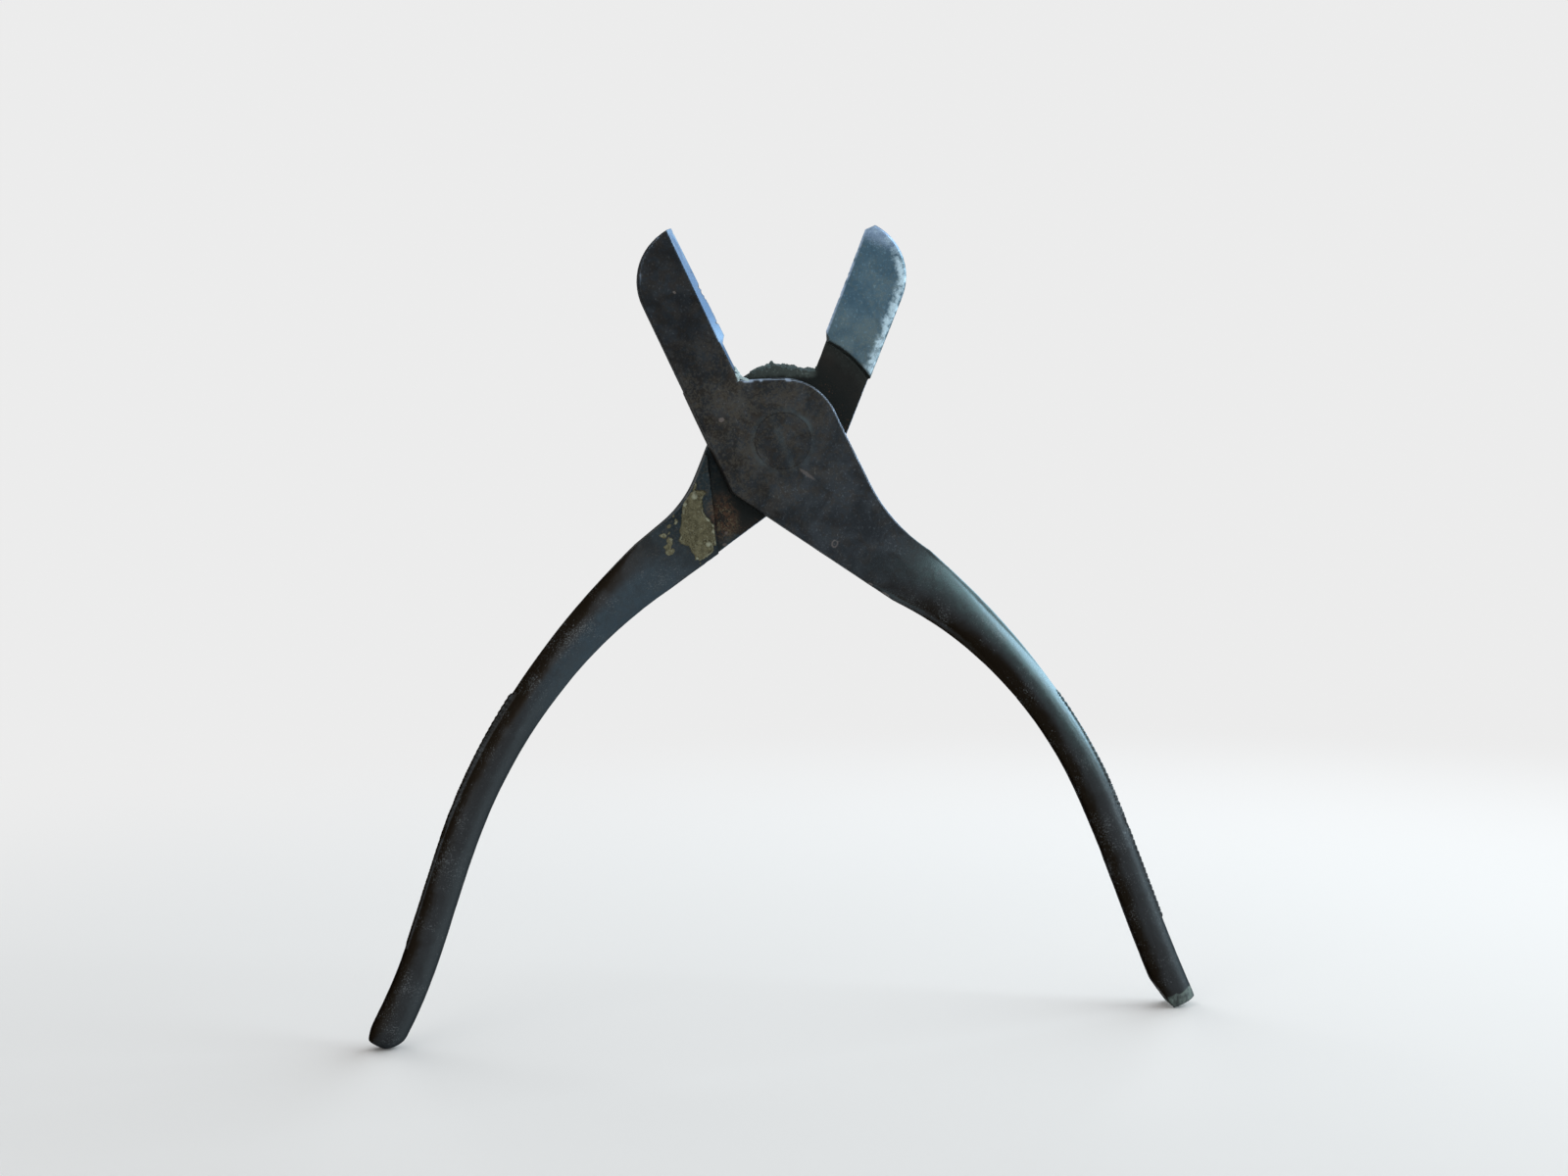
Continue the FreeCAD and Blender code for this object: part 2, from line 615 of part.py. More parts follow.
for item in doc.Objects:
    if "Invalid" in item.State or "Error" in item.State:
        raise ValueError(f"{item.Label} is left in the state {item.State}")
for piece in pieces:
    if piece.Shape.isNull() or not piece.Shape.isValid() or len(piece.Shape.Solids) != 1:
        raise ValueError(f"{piece.Label} isn't one valid solid")

os.makedirs("parts", exist_ok=True)
for piece in pieces:
    piece.Shape.exportStep(f"parts/{piece.Label}.step")
    box = piece.Shape.optimalBoundingBox(True, False)
    print(f"{piece.Label}: {piece.Shape.Volume:.0f} mm3, "
          f"x {box.XMin:.1f}..{box.XMax:.1f}, y {box.YMin:.1f}..{box.YMax:.1f}, "
          f"z {box.ZMin:.2f}..{box.ZMax:.2f}")
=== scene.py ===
"""Dress of the forged lap-joint hand cutters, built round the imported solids.

Two forged halves turn on one flush rivet.  Each half is refined from its own solid, worn, dented
and serrated in mesh code, and given the finish of old tool steel.  Lengths in the classes are in
millimetres; Blender's own units are metres.
"""

import logging
import math
from dataclasses import dataclass, field
from enum import Enum
from typing import Mapping, Sequence

import bmesh
import bpy
import numpy as np
from mathutils import Euler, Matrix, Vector
from mathutils.bvhtree import BVHTree


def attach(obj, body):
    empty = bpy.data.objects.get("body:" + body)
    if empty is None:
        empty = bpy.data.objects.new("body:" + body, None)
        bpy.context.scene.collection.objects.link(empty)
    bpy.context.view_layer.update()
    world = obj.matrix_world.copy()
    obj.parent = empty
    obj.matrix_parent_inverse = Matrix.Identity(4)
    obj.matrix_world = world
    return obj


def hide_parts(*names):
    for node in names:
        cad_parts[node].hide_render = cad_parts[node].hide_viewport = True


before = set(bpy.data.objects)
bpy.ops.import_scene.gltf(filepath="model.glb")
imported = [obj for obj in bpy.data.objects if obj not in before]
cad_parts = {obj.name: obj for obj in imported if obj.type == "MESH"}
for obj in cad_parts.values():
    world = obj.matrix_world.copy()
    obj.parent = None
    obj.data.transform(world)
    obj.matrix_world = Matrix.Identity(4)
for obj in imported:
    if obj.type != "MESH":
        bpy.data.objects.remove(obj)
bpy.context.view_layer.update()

MM = 0.001
LOG = logging.getLogger("cutters")

# Sizes of the joint that more than one piece needs, in millimetres and degrees.
THICKNESS = 13.0
RECESS_RADIUS = 23.9
STEP_RADIUS = 23.8
HEAD_EDGE = 7.4
SEAT_RADIUS = 6.5
SEAT_SPREAD = 0.45
SHOULDER_LEAN = 28.0
SHOULDER_REACH = 15.9
# Largest y of an outward normal that still counts as facing the front.
STEEPEST_FACE = -0.7


# ---------------------------------------------------------------- numbers over a surface


def smooth_step(values: np.ndarray, low: float, high: float) -> np.ndarray:
    """Rises smoothly from 0 at low to 1 at high.

    Args:
        values: The numbers to map.
        low: Where the result is still 0.
        high: Where the result is 1; below low, the step falls instead.

    Returns:
        The mapped numbers, from 0 to 1.
    """
    share = np.clip((values - low) / (high - low), 0.0, 1.0)
    return share * share * (3.0 - 2.0 * share)


def lattice_values(cells: np.ndarray, seed: int) -> np.ndarray:
    """A fixed scrambled number from -1 to 1 for each whole-numbered cell.

    Args:
        cells: Whole cell coordinates, one row each.
        seed: Picks one scramble.

    Returns:
        One number for each row.
    """
    mixed = (cells[:, 0] * 73856093) ^ (cells[:, 1] * 19349663) ^ (cells[:, 2] * 83492791)
    mixed = (mixed ^ (seed * 2654435761)) & 0xFFFFFFFF
    mixed = ((mixed ^ (mixed >> 16)) * 0x45D9F3B) & 0xFFFFFFFF
    mixed = ((mixed ^ (mixed >> 16)) * 0x45D9F3B) & 0xFFFFFFFF
    return ((mixed ^ (mixed >> 16)) & 0xFFFF) / 32767.5 - 1.0


def wander(points: np.ndarray, size: float, seed: int) -> np.ndarray:
    """Smooth random values over space.

    Args:
        points: Places in millimetres, one row each.
        size: Width of one swell in millimetres.
        seed: Picks one pattern.

    Returns:
        One value from about -1 to 1 for each place.
    """
    scaled = points / size
    cells = np.floor(scaled).astype(np.int64)
    share = scaled - cells
    share = share * share * (3.0 - 2.0 * share)
    total = np.zeros(len(points))
    for corner in range(8):
        offset = np.array([corner & 1, corner >> 1 & 1, corner >> 2 & 1])
        weight = np.prod(np.where(offset == 1, share, 1.0 - share), axis=1)
        total += weight * lattice_values(cells + offset, seed)
    return total


def rough_wander(points: np.ndarray, size: float, seed: int) -> np.ndarray:
    """Smooth random values with two finer swells on top.

    Args:
        points: Places in millimetres.
        size: Width of the widest swell.
        seed: Picks one pattern.

    Returns:
        One value for each place.
    """
    return (wander(points, size, seed) + 0.5 * wander(points, size / 2.1, seed + 11)
            + 0.25 * wander(points, size / 4.3, seed + 23)) / 1.4


# ---------------------------------------------------------------- meshes


def read(rows: bpy.types.bpy_prop_collection, name: str, width: int = 1,
         kind: type = float) -> np.ndarray:
    """Reads one property of every row of a mesh's list.

    Args:
        rows: The points, edges, cells or corners.
        name: Name of the property.
        width: How many numbers it has.
        kind: Their kind.

    Returns:
        The numbers, one row each where the width is more than 1.
    """
    flat = np.empty(len(rows) * width, dtype=kind)
    rows.foreach_get(name, flat)
    return flat.reshape(-1, width) if width > 1 else flat


class Skin:
    """A mesh held as arrays in millimetres, so that it can be worn and marked."""

    def __init__(self, mesh: bpy.types.Mesh) -> None:
        """Reads the mesh.

        Args:
            mesh: The mesh to shape.
        """
        self.mesh = mesh
        self.points = read(mesh.vertices, "co", 3) / MM
        self.pairs = read(mesh.edges, "vertices", 2, np.int64)
        counted = np.bincount(self.pairs.ravel(), minlength=len(self.points))
        self.degree = np.maximum(counted, 1)

    def store(self) -> None:
        """Writes the points back to the mesh."""
        self.mesh.vertices.foreach_set("co", (self.points * MM).ravel())
        self.mesh.update()

    def normals(self) -> np.ndarray:
        """The outward normal at each point, after the points were stored."""
        return read(self.mesh.vertex_normals, "vector", 3)

    def swell(self, size: float, seed: int) -> np.ndarray:
        """Smooth random values over the points, with finer ones on top."""
        return rough_wander(self.points, size, seed)

    def from_pivot(self) -> np.ndarray:
        """Distance of each point from the pivot axis."""
        return np.hypot(self.points[:, 0], self.points[:, 2])

    def facing(self) -> np.ndarray:
        """For each point, 1 where the surface faces the front and 0 elsewhere."""
        return (self.normals()[:, 1] < STEEPEST_FACE).astype(float)

    def downhill(self) -> np.ndarray:
        """Place of each point along a line from upper left to lower right."""
        return self.points[:, 0] - 0.7 * self.points[:, 2]

    def seat(self, far: np.ndarray) -> np.ndarray:
        """How near each point is to the ragged ring round the rivet's head.

        Args:
            far: Distance of each point from the pivot axis.

        Returns:
            One number from 0 to 1 for each point.
        """
        ragged = far + 0.25 * self.swell(1.6, 57)
        return np.exp(-((ragged - SEAT_RADIUS) / SEAT_SPREAD) ** 2)

    def averaged(self, values: np.ndarray, rounds: int) -> np.ndarray:
        """Spreads values between neighbouring points.

        Args:
            values: One number or one row for each point.
            rounds: How often each point takes on half of its neighbours' mean.

        Returns:
            The spread values.
        """
        rows = values.reshape(len(self.points), -1).copy()
        first, last = self.pairs[:, 0], self.pairs[:, 1]
        for _ in range(rounds):
            for column in range(rows.shape[1]):
                series = rows[:, column]
                total = np.bincount(first, series[last], len(series))
                total += np.bincount(last, series[first], len(series))
                rows[:, column] = (series + total / self.degree) / 2
        return rows.reshape(values.shape)

    def relief(self, rounds: int) -> np.ndarray:
        """How far each point stands out of its surroundings, in millimetres.

        Args:
            rounds: Width of the surroundings.

        Returns:
            Positive on outer edges, negative in hollows.
        """
        lift = self.points - self.averaged(self.points, rounds)
        return np.einsum("ij,ij->i", lift, self.normals())

    def press(self, depth: np.ndarray) -> None:
        """Moves each point inward along its normal.

        Args:
            depth: The depth for each point in millimetres.
        """
        self.points -= self.normals() * depth[:, None]
        self.store()

    def mark(self, name: str, values: np.ndarray) -> None:
        """Stores one number for each point under a name that the finishes read.

        Args:
            name: Name of the mark.
            values: The numbers.
        """
        layer = self.mesh.attributes.get(name) or self.mesh.attributes.new(name, "FLOAT", "POINT")
        layer.data.foreach_set("value", values.astype(np.float32))


def added(name: str, data: bpy.types.ID) -> bpy.types.Object:
    """Adds an object to the scene.

    Args:
        name: Name of the object.
        data: Its mesh, lamp or camera.

    Returns:
        The object.
    """
    made = bpy.data.objects.new(name, data)
    bpy.context.scene.collection.objects.link(made)
    return made


def settle(piece: bpy.types.Object) -> bpy.types.Mesh:
    """Gives the piece the mesh that its modifiers make.

    Args:
        piece: The piece.

    Returns:
        Its new mesh.
    """
    graph = bpy.context.evaluated_depsgraph_get()
    mesh = bpy.data.meshes.new_from_object(piece.evaluated_get(graph))
    piece.modifiers.clear()
    piece.data = mesh
    mesh.name = piece.name
    return mesh


def dress(piece: bpy.types.Object, material: bpy.types.Material) -> None:
    """Shades the piece smoothly and gives it its one material.

    Args:
        piece: The piece.
        material: The material.
    """
    cells = piece.data.polygons
    cells.foreach_set("use_smooth", [True] * len(cells))
    piece.data.materials.clear()
    piece.data.materials.append(material)


def refined_copy(node: bpy.types.Object, name: str, depth: int) -> bpy.types.Object:
    """An evenly meshed copy of a solid that keeps its crisp edges.

    Args:
        node: The solid.
        name: Name of the new piece.
        depth: Fineness; each step halves the cells.

    Returns:
        The new piece, at the origin.
    """
    piece = added(name, node.data.copy())
    weld = piece.modifiers.new("weld", "WELD")
    weld.merge_threshold = 1e-6
    remesh = piece.modifiers.new("refine", "REMESH")
    remesh.mode = "SHARP"
    remesh.octree_depth = depth
    remesh.scale = 0.99
    remesh.use_remove_disconnected = False
    settle(piece)
    return piece


def cells_with(mesh: bpy.types.Mesh, marked: np.ndarray) -> np.ndarray:
    """Which cells of a mesh have a marked corner.

    Args:
        mesh: The mesh.
        marked: One truth value for each point.

    Returns:
        One truth value for each cell.
    """
    starts = read(mesh.polygons, "loop_start", kind=np.int32)
    corners = read(mesh.loops, "vertex_index", kind=np.int32)
    return np.add.reduceat(marked[corners].astype(np.int64), starts) > 0


def split_cells(mesh: bpy.types.Mesh, chosen: np.ndarray) -> None:
    """Halves the cells of a mesh where finer work is to come.

    Args:
        mesh: The mesh.
        chosen: One truth value for each cell.
    """
    work = bmesh.new()
    work.from_mesh(mesh)
    work.faces.ensure_lookup_table()
    edges = {edge for index in np.flatnonzero(chosen) for edge in work.faces[index].edges}
    bmesh.ops.subdivide_edges(work, edges=sorted(edges, key=lambda edge: edge.index), cuts=1,
                              use_grid_fill=True)
    work.to_mesh(mesh)
    work.free()


def solid_box(node: bpy.types.Object) -> tuple[np.ndarray, np.ndarray]:
    """Lowest and highest corner of a solid, in millimetres.

    Args:
        node: The solid.

    Returns:
        The two corners.
    """
    points = read(node.data.vertices, "co", 3) / MM
    return points.min(axis=0), points.max(axis=0)


def turned(points: np.ndarray, degrees: float) -> np.ndarray:
    """Turns points about the pivot axis.

    Args:
        points: The points, one row each.
        degrees: How far.

    Returns:
        The turned points.
    """
    cosine, sine = math.cos(math.radians(degrees)), math.sin(math.radians(degrees))
    moved = points.copy()
    moved[:, 0] = points[:, 0] * cosine + points[:, 2] * sine
    moved[:, 2] = -points[:, 0] * sine + points[:, 2] * cosine
    return moved


def past_shoulder(local: np.ndarray) -> np.ndarray:
    """Distance of points from the shoulder line between cheek and handle of the rear half.

    Args:
        local: Points in the half's own frame.

    Returns:
        The distance for each point, positive on the handle's side.
    """
    lean = math.radians(SHOULDER_LEAN)
    return local[:, 0] * math.cos(lean) - local[:, 2] * math.sin(lean) - SHOULDER_REACH


# ---------------------------------------------------------------- shader graphs


Socket = bpy.types.NodeSocket
Colour = tuple[float, float, float]
# Inputs and output of Blender's Mix node for each kind: below, above, result.
MIX_SOCKETS = {"FLOAT": (2, 3, 0), "RGBA": (6, 7, 2)}
# How a stone's noise is squeezed, so that it becomes lines along the edge.
STREAK_STRETCH = (1.0, 0.6, 0.07)


class Graph:
    """Shorthand for laying nodes in a tree."""

    def __init__(self, tree: bpy.types.NodeTree) -> None:
        """Keeps the tree that nodes are laid in."""
        self.tree = tree
        self.laid = 0

    def node(self, kind: str, **settings: object) -> bpy.types.Node:
        """Lays a node.

        Args:
            kind: Type of node without its ShaderNode prefix, or a full type name.
            settings: Properties to set on it.

        Returns:
            The node.
        """
        full = kind if kind.startswith(("ShaderNode", "NodeGroup")) else f"ShaderNode{kind}"
        made = self.tree.nodes.new(full)
        made.location = (220 * (self.laid // 6), -260 * (self.laid % 6))
        self.laid += 1
        for name, setting in settings.items():
            setattr(made, name, setting)
        return made

    def feed(self, socket: Socket, source: object) -> None:
        """Links or sets an input.

        Args:
            socket: The input.
            source: A socket to link, or a value to set.
        """
        if isinstance(source, bpy.types.NodeSocket):
            self.tree.links.new(source, socket)
        else:
            socket.default_value = source

    def math(self, operation: str, *terms: object) -> Socket:
        """Lays one sum.

        Args:
            operation: Name of the sum.
            terms: Its two or three terms, each a socket or a number.

        Returns:
            The result.
        """
        made = self.node("Math", operation=operation)
        for socket, term in zip(made.inputs, terms):
            self.feed(socket, term)
        return made.outputs[0]

    def times(self, *factors: object) -> Socket:
        """Multiplies numbers with one another.

        Args:
            factors: One or more sockets or numbers.

        Returns:
            The product.
        """
        product = factors[0]
        for factor in factors[1:]:
            product = self.math("MULTIPLY", product, factor)
        return product

    def line(self, value: object, slope: object, start: object) -> Socket:
        """A straight line over a value: the value times the slope, plus the start."""
        return self.math("MULTIPLY_ADD", value, slope, start)

    def scaled(self, vector: Socket, factor: object) -> Socket:
        """Multiplies a vector by one number.

        Args:
            vector: The vector.
            factor: The number.

        Returns:
            The longer or shorter vector.
        """
        made = self.node("VectorMath", operation="SCALE")
        self.feed(made.inputs[0], vector)
        self.feed(made.inputs["Scale"], factor)
        return made.outputs[0]

    def step(self, value: object, low: float, high: float) -> Socket:
        """Rises smoothly over a value.

        Args:
            value: The value.
            low: Where the result is still 0.
            high: Where the result is 1.

        Returns:
            The result.
        """
        made = self.node("MapRange", interpolation_type="SMOOTHSTEP")
        for name, source in (("Value", value), ("From Min", low), ("From Max", high)):
            self.feed(made.inputs[name], source)
        return made.outputs["Result"]

    def noise(self, vector: Socket, scale: object, detail: float = 2.0,
              distortion: float = 0.0, roughness: float = 0.55) -> Socket:
        """Soft noise over a place.

        Args:
            vector: The place in millimetres.
            scale: Swells to the millimetre.
            detail: How many finer swells lie on the widest.
            distortion: How far the swells are twisted.
            roughness: How strong the finer swells are.

        Returns:
            A number from 0 to 1, mostly near the middle.
        """
        made = self.node("TexNoise")
        for name, source in (("Vector", vector), ("Scale", scale), ("Detail", detail),
                             ("Distortion", distortion), ("Roughness", roughness)):
            self.feed(made.inputs[name], source)
        return made.outputs["Fac"]

    def mark(self, name: str) -> Socket:
        """The number stored on the mesh under a name."""
        made = self.node("Attribute", attribute_type="GEOMETRY", attribute_name=name)
        return made.outputs["Fac"]

    def blend(self, kind: str, share: object, below: object, above: object) -> Socket:
        """Mixes two numbers or two colours.

        Args:
            kind: FLOAT or RGBA.
            share: How much of the upper one shows.
            below: The lower one.
            above: The upper one.

        Returns:
            The mixture.
        """
        made = self.node("Mix", data_type=kind)
        lower, upper, mixed = MIX_SOCKETS[kind]
        for number, source in ((0, share), (lower, below), (upper, above)):
            self.feed(made.inputs[number], source)
        return made.outputs[mixed]


class EffectGroup:
    """A shader node group over a place, with number inputs and outputs.

    Attributes:
        title: Name of the group.
        numbers: Names and first values of its number inputs, which follow Place.
    """

    title = ""
    numbers: Mapping[str, float] = {}

    def __init__(self) -> None:
        """Opens the group, lays its nodes and joins them to its sockets."""
        self.tree = bpy.data.node_groups.new(self.title, "ShaderNodeTree")
        add = self.tree.interface.new_socket
        add("Place", in_out="INPUT", socket_type="NodeSocketVector")
        for label, number in self.numbers.items():
            add(label, in_out="INPUT", socket_type="NodeSocketFloat").default_value = number
        self.graph = Graph(self.tree)
        self.given = self.graph.node("NodeGroupInput").outputs
        self.place = self.graph.scaled(self.given["Place"], 1.0 / MM)
        masks = self.masks()
        for label in masks:
            add(label, in_out="OUTPUT", socket_type="NodeSocketFloat")
        result = self.graph.node("NodeGroupOutput").inputs
        for label, source in masks.items():
            self.graph.feed(result[label], source)

    def masks(self) -> dict[str, Socket]:
        """Lays the nodes.

        Returns:
            The outputs by name.
        """
        raise NotImplementedError

    def per(self, label: str) -> Socket:
        """One divided by the input of that name."""
        return self.graph.math("DIVIDE", 1.0, self.given[label])


class Patina(EffectGroup):
    """Mottles of two sizes, fine specks and a grain."""

    title = "mottled patina"
    numbers = {"Patch size": 4.0, "Speck size": 0.7}

    def masks(self) -> dict[str, Socket]:
        """Lays the nodes.

        Returns:
            Patches, Clouds, Specks and Grain.
        """
        graph, patch = self.graph, self.per("Patch size")
        patches = graph.noise(self.place, patch, 4.0, 0.6)
        clouds = graph.noise(self.place, graph.times(patch, 0.3), 3.0, 0.8)
        specks = graph.noise(self.place, self.per("Speck size"), 3.0, 0.3)
        return {"Patches": graph.step(patches, 0.34, 0.66),
                "Clouds": graph.step(clouds, 0.34, 0.66),
                "Specks": graph.step(specks, 0.56, 0.72),
                "Grain": graph.noise(self.place, 5.0, 4.0)}


class WornAndLitEdges(EffectGroup):
    """Where standing edges show wear and a painted highlight, a little uneven along the edge."""

    title = "worn and lit edges"
    numbers = {"Standing": 0.0, "Break size": 1.2, "Uneven": 0.5}

    def masks(self) -> dict[str, Socket]:
        """Lays the nodes.

        Returns:
            The one Mask.
        """
        graph, uneven = self.graph, self.given["Uneven"]
        broken = graph.noise(self.place, self.per("Break size"), 4.0, 0.4)
        kept = graph.line(graph.step(broken, 0.34, 0.62), uneven,
                          graph.math("SUBTRACT", 1.0, uneven))
        return {"Mask": graph.times(graph.step(self.given["Standing"], 0.08, 0.85), kept)}


class SettledGrime(EffectGroup):
    """Where dirt has settled in hollows."""

    title = "settled grime"
    numbers = {"Hollow": 0.0}

    def masks(self) -> dict[str, Socket]:
        """Lays the nodes.

        Returns:
            The one Mask.
        """
        graph, hollow = self.graph, self.given["Hollow"]
        clotted = graph.line(graph.noise(self.place, 0.9, 4.0, 0.5), 0.8, -0.4)
        both = graph.step(graph.math("ADD", hollow, clotted), 0.2, 0.6)
        return {"Mask": graph.times(both, graph.step(hollow, 0.03, 0.2))}


class StoneStreaks(EffectGroup):
    """Long fine lines left by a stone, at a given turn about the pivot axis."""

    title = "grinding streaks"
    numbers = {"Turn": 0.0, "Spacing": 0.35}

    def masks(self) -> dict[str, Socket]:
        """Lays the nodes.

        Returns:
            The one output Lines.
        """
        graph = self.graph
        turn = graph.node("VectorRotate", rotation_type="Y_AXIS")
        graph.feed(turn.inputs["Vector"], self.place)
        graph.feed(turn.inputs["Angle"], self.given["Turn"])
        stretched = graph.node("VectorMath", operation="MULTIPLY")
        graph.feed(stretched.inputs[0], turn.outputs[0])
        graph.feed(stretched.inputs[1], STREAK_STRETCH)
        return {"Lines": graph.noise(stretched.outputs[0], self.per("Spacing"), 3.0)}


class ScatteredSpecks(EffectGroup):
    """Small specks that gather in some regions."""

    title = "scattered specks"
    numbers = {"Cover": 0.3, "Speck size": 0.5}

    def masks(self) -> dict[str, Socket]:
        """Lays the nodes.

        Returns:
            The one Mask.
        """
        graph = self.graph
        specks = graph.noise(self.place, self.per("Speck size"), 3.0, 0.6, 0.6)
        regions = graph.line(graph.noise(self.place, 0.16, 2.0), 0.5, -0.25)
        raised = graph.line(self.given["Cover"], 0.4, graph.math("ADD", specks, regions))
        return {"Mask": graph.step(raised, 0.72, 0.80)}


class SingleFleck(EffectGroup):
    """One ragged fleck at a place on the front or back, solid or a ring, long or round."""

    title = "single fleck"
    numbers = {"Across": 0.0, "Up": 0.0, "Turn": 0.0, "Length": 1.0, "Width": 0.5, "Ring": 0.0}

    def masks(self) -> dict[str, Socket]:
        """Lays the nodes.

        Returns:
            The one Mask.
        """
        graph, given = self.graph, self.given
        split = graph.node("SeparateXYZ")
        graph.feed(split.inputs[0], self.place)
        across = graph.math("SUBTRACT", split.outputs[0], given["Across"])
        up = graph.math("SUBTRACT", split.outputs[2], given["Up"])
        cosine, sine = graph.math("COSINE", given["Turn"]), graph.math("SINE", given["Turn"])
        along = graph.math("ADD", graph.times(across, cosine), graph.times(up, sine))
        aside = graph.math("SUBTRACT", graph.times(up, cosine), graph.times(across, sine))
        far, wide = (graph.math("POWER", graph.math("DIVIDE", run, given[size]), 2.0)
                     for run, size in ((along, "Length"), (aside, "Width")))
        reach = graph.math("SQRT", graph.math("ADD", far, wide))
        ragged = graph.line(graph.noise(self.place, 2.6, 3.0, 0.4), 0.9, reach)
        hole = graph.times(given["Ring"], graph.step(reach, 0.75, 0.45))
        solid = graph.step(ragged, 1.55, 1.1)
        return {"Mask": graph.times(solid, graph.math("SUBTRACT", 1.0, hole))}


class Shared(Enum):
    """The effects that more than one finish uses."""

    PATINA = Patina
    WORN_AND_LIT_EDGES = WornAndLitEdges
    GRIME = SettledGrime
    STREAKS = StoneStreaks
    SPECKLE = ScatteredSpecks
    FLECK = SingleFleck


class EffectLibrary:
    """Keeps each shared effect, which is built once, when it is first placed."""

    def __init__(self) -> None:
        """Starts with no group."""
        self.groups: dict[Shared, bpy.types.NodeTree] = {}

    def place(self, graph: Graph, effect: Shared, **inputs: object) -> dict[str, Socket]:
        """Puts an effect into a material.

        Args:
            graph: The material's graph.
            effect: Which effect.
            inputs: Values or sockets for its named inputs, with _ for a space.

        Returns:
            Its outputs by name.
        """
        if effect not in self.groups:
            self.groups[effect] = effect.value().tree
        made = graph.node("Group", node_tree=self.groups[effect])
        for name, source in inputs.items():
            graph.feed(made.inputs[name.replace("_", " ")], source)
        return {output.name: output for output in made.outputs}


EFFECTS = EffectLibrary()


# ---------------------------------------------------------------- finishes


@dataclass(frozen=True)
class Finish:
    """One finish: its colour, how rough it is and how metallic."""

    colour: Colour
    roughness: float
    metallic: float


SLATE = Finish((0.040, 0.048, 0.056), 0.46, 1.0)
UMBER = Finish((0.046, 0.042, 0.037), 0.50, 1.0)
ASH = Finish((0.085, 0.080, 0.066), 0.58, 0.7)
DUSTY_GREY = Finish((0.027, 0.040, 0.047), 0.50, 1.0)
DUSTY_BROWN = Finish((0.022, 0.025, 0.026), 0.55, 0.9)
# Handle colours: brown painted shade away from the lamps, grey-blue painted light facing them.
HANDLE_SHADED_BROWN = Finish((0.013, 0.010, 0.007), 0.44, 1.0)
HANDLE_GREY = Finish((0.034, 0.037, 0.040), 0.42, 1.0)
HANDLE_LIT_BLUE = Finish((0.052, 0.062, 0.068), 0.40, 1.0)
# Painted highlights: on the lit side of the front handle's root, and along its lit side wall.
PALM_HIGHLIGHT_STEEL = Finish((0.057, 0.084, 0.088), 0.44, 1.0)
BRIM_HIGHLIGHT_STEEL = Finish((0.25, 0.36, 0.42), 0.40, 1.0)
PALE_SPECK = Finish((0.15, 0.17, 0.18), 0.55, 0.7)
# Painted highlight on the lit middle of the rear handle's root.
ROOT_HIGHLIGHT_BLUE = Finish((0.048, 0.068, 0.084), 0.44, 1.0)
# Worn edges, painted brighter as a highlight where they face the lamps.
WORN_AND_LIT_STEEL = Finish((0.32, 0.42, 0.56), 0.30, 1.0)
BEVEL_STEEL = Finish((0.098, 0.158, 0.250), 0.34, 1.0)
BEVEL_LIGHT = Finish((0.19, 0.29, 0.41), 0.32, 1.0)
BEVEL_SHADE = Finish((0.056, 0.092, 0.152), 0.40, 1.0)
STONE_STEEL = Finish((0.074, 0.142, 0.198), 0.42, 1.0)
STONE_DUST = Finish((0.110, 0.160, 0.180), 0.50, 0.9)
# Worn rim of the shear face, painted bright as a highlight.
STONE_RIM_HIGHLIGHT = Finish((0.54, 0.74, 0.86), 0.36, 1.0)
STONE_TIP = Finish((0.23, 0.33, 0.48), 0.38, 1.0)
# Near-black of the recess floor, browner away from the pivot.
RECESS_BLACK = Finish((0.015, 0.018, 0.018), 0.36, 0.9)
RECESS_BROWN = Finish((0.027, 0.026, 0.024), 0.46, 0.8)
CAKED = Finish((0.15, 0.19, 0.18), 0.85, 0.0)
GRIME = Finish((0.020, 0.019, 0.017), 0.80, 0.1)
EARTH = Finish((0.042, 0.034, 0.029), 0.60, 0.7)
RUST = Finish((0.15, 0.085, 0.055), 0.85, 0.0)
OCHRE = Finish((0.22, 0.19, 0.12), 0.85, 0.0)
SEAT_BLUE = Finish((0.064, 0.084, 0.092), 0.50, 0.9)
PALE_FLECK = Finish((0.24, 0.21, 0.20), 0.70, 0.2)
CUT_END = Finish((0.14, 0.18, 0.17), 0.55, 0.6)
OLD_PAINT = Finish((0.162, 0.154, 0.094), 0.75, 0.0)
PAINT_SHADE = Finish((0.070, 0.066, 0.040), 0.80, 0.0)
PAINT_LIGHT = Finish((0.34, 0.36, 0.27), 0.70, 0.0)
CLOD = Finish((0.13, 0.19, 0.20), 0.85, 0.0)
CLOD_SHADE = Finish((0.085, 0.10, 0.09), 0.85, 0.0)
CLOD_LIGHT = Finish((0.38, 0.50, 0.52), 0.85, 0.0)
CRUMB = Finish((0.54, 0.70, 0.74), 0.80, 0.0)


def new_material(name: str) -> tuple[bpy.types.Material, Graph, bpy.types.Node]:
    """A material with its Principled shader.

    Args:
        name: Name of the material.

    Returns:
        The material, its graph and its shader.
    """
    material = bpy.data.materials.new(name)
    material.use_nodes = True
    shader = material.node_tree.nodes["Principled BSDF"]
    return material, Graph(material.node_tree), shader


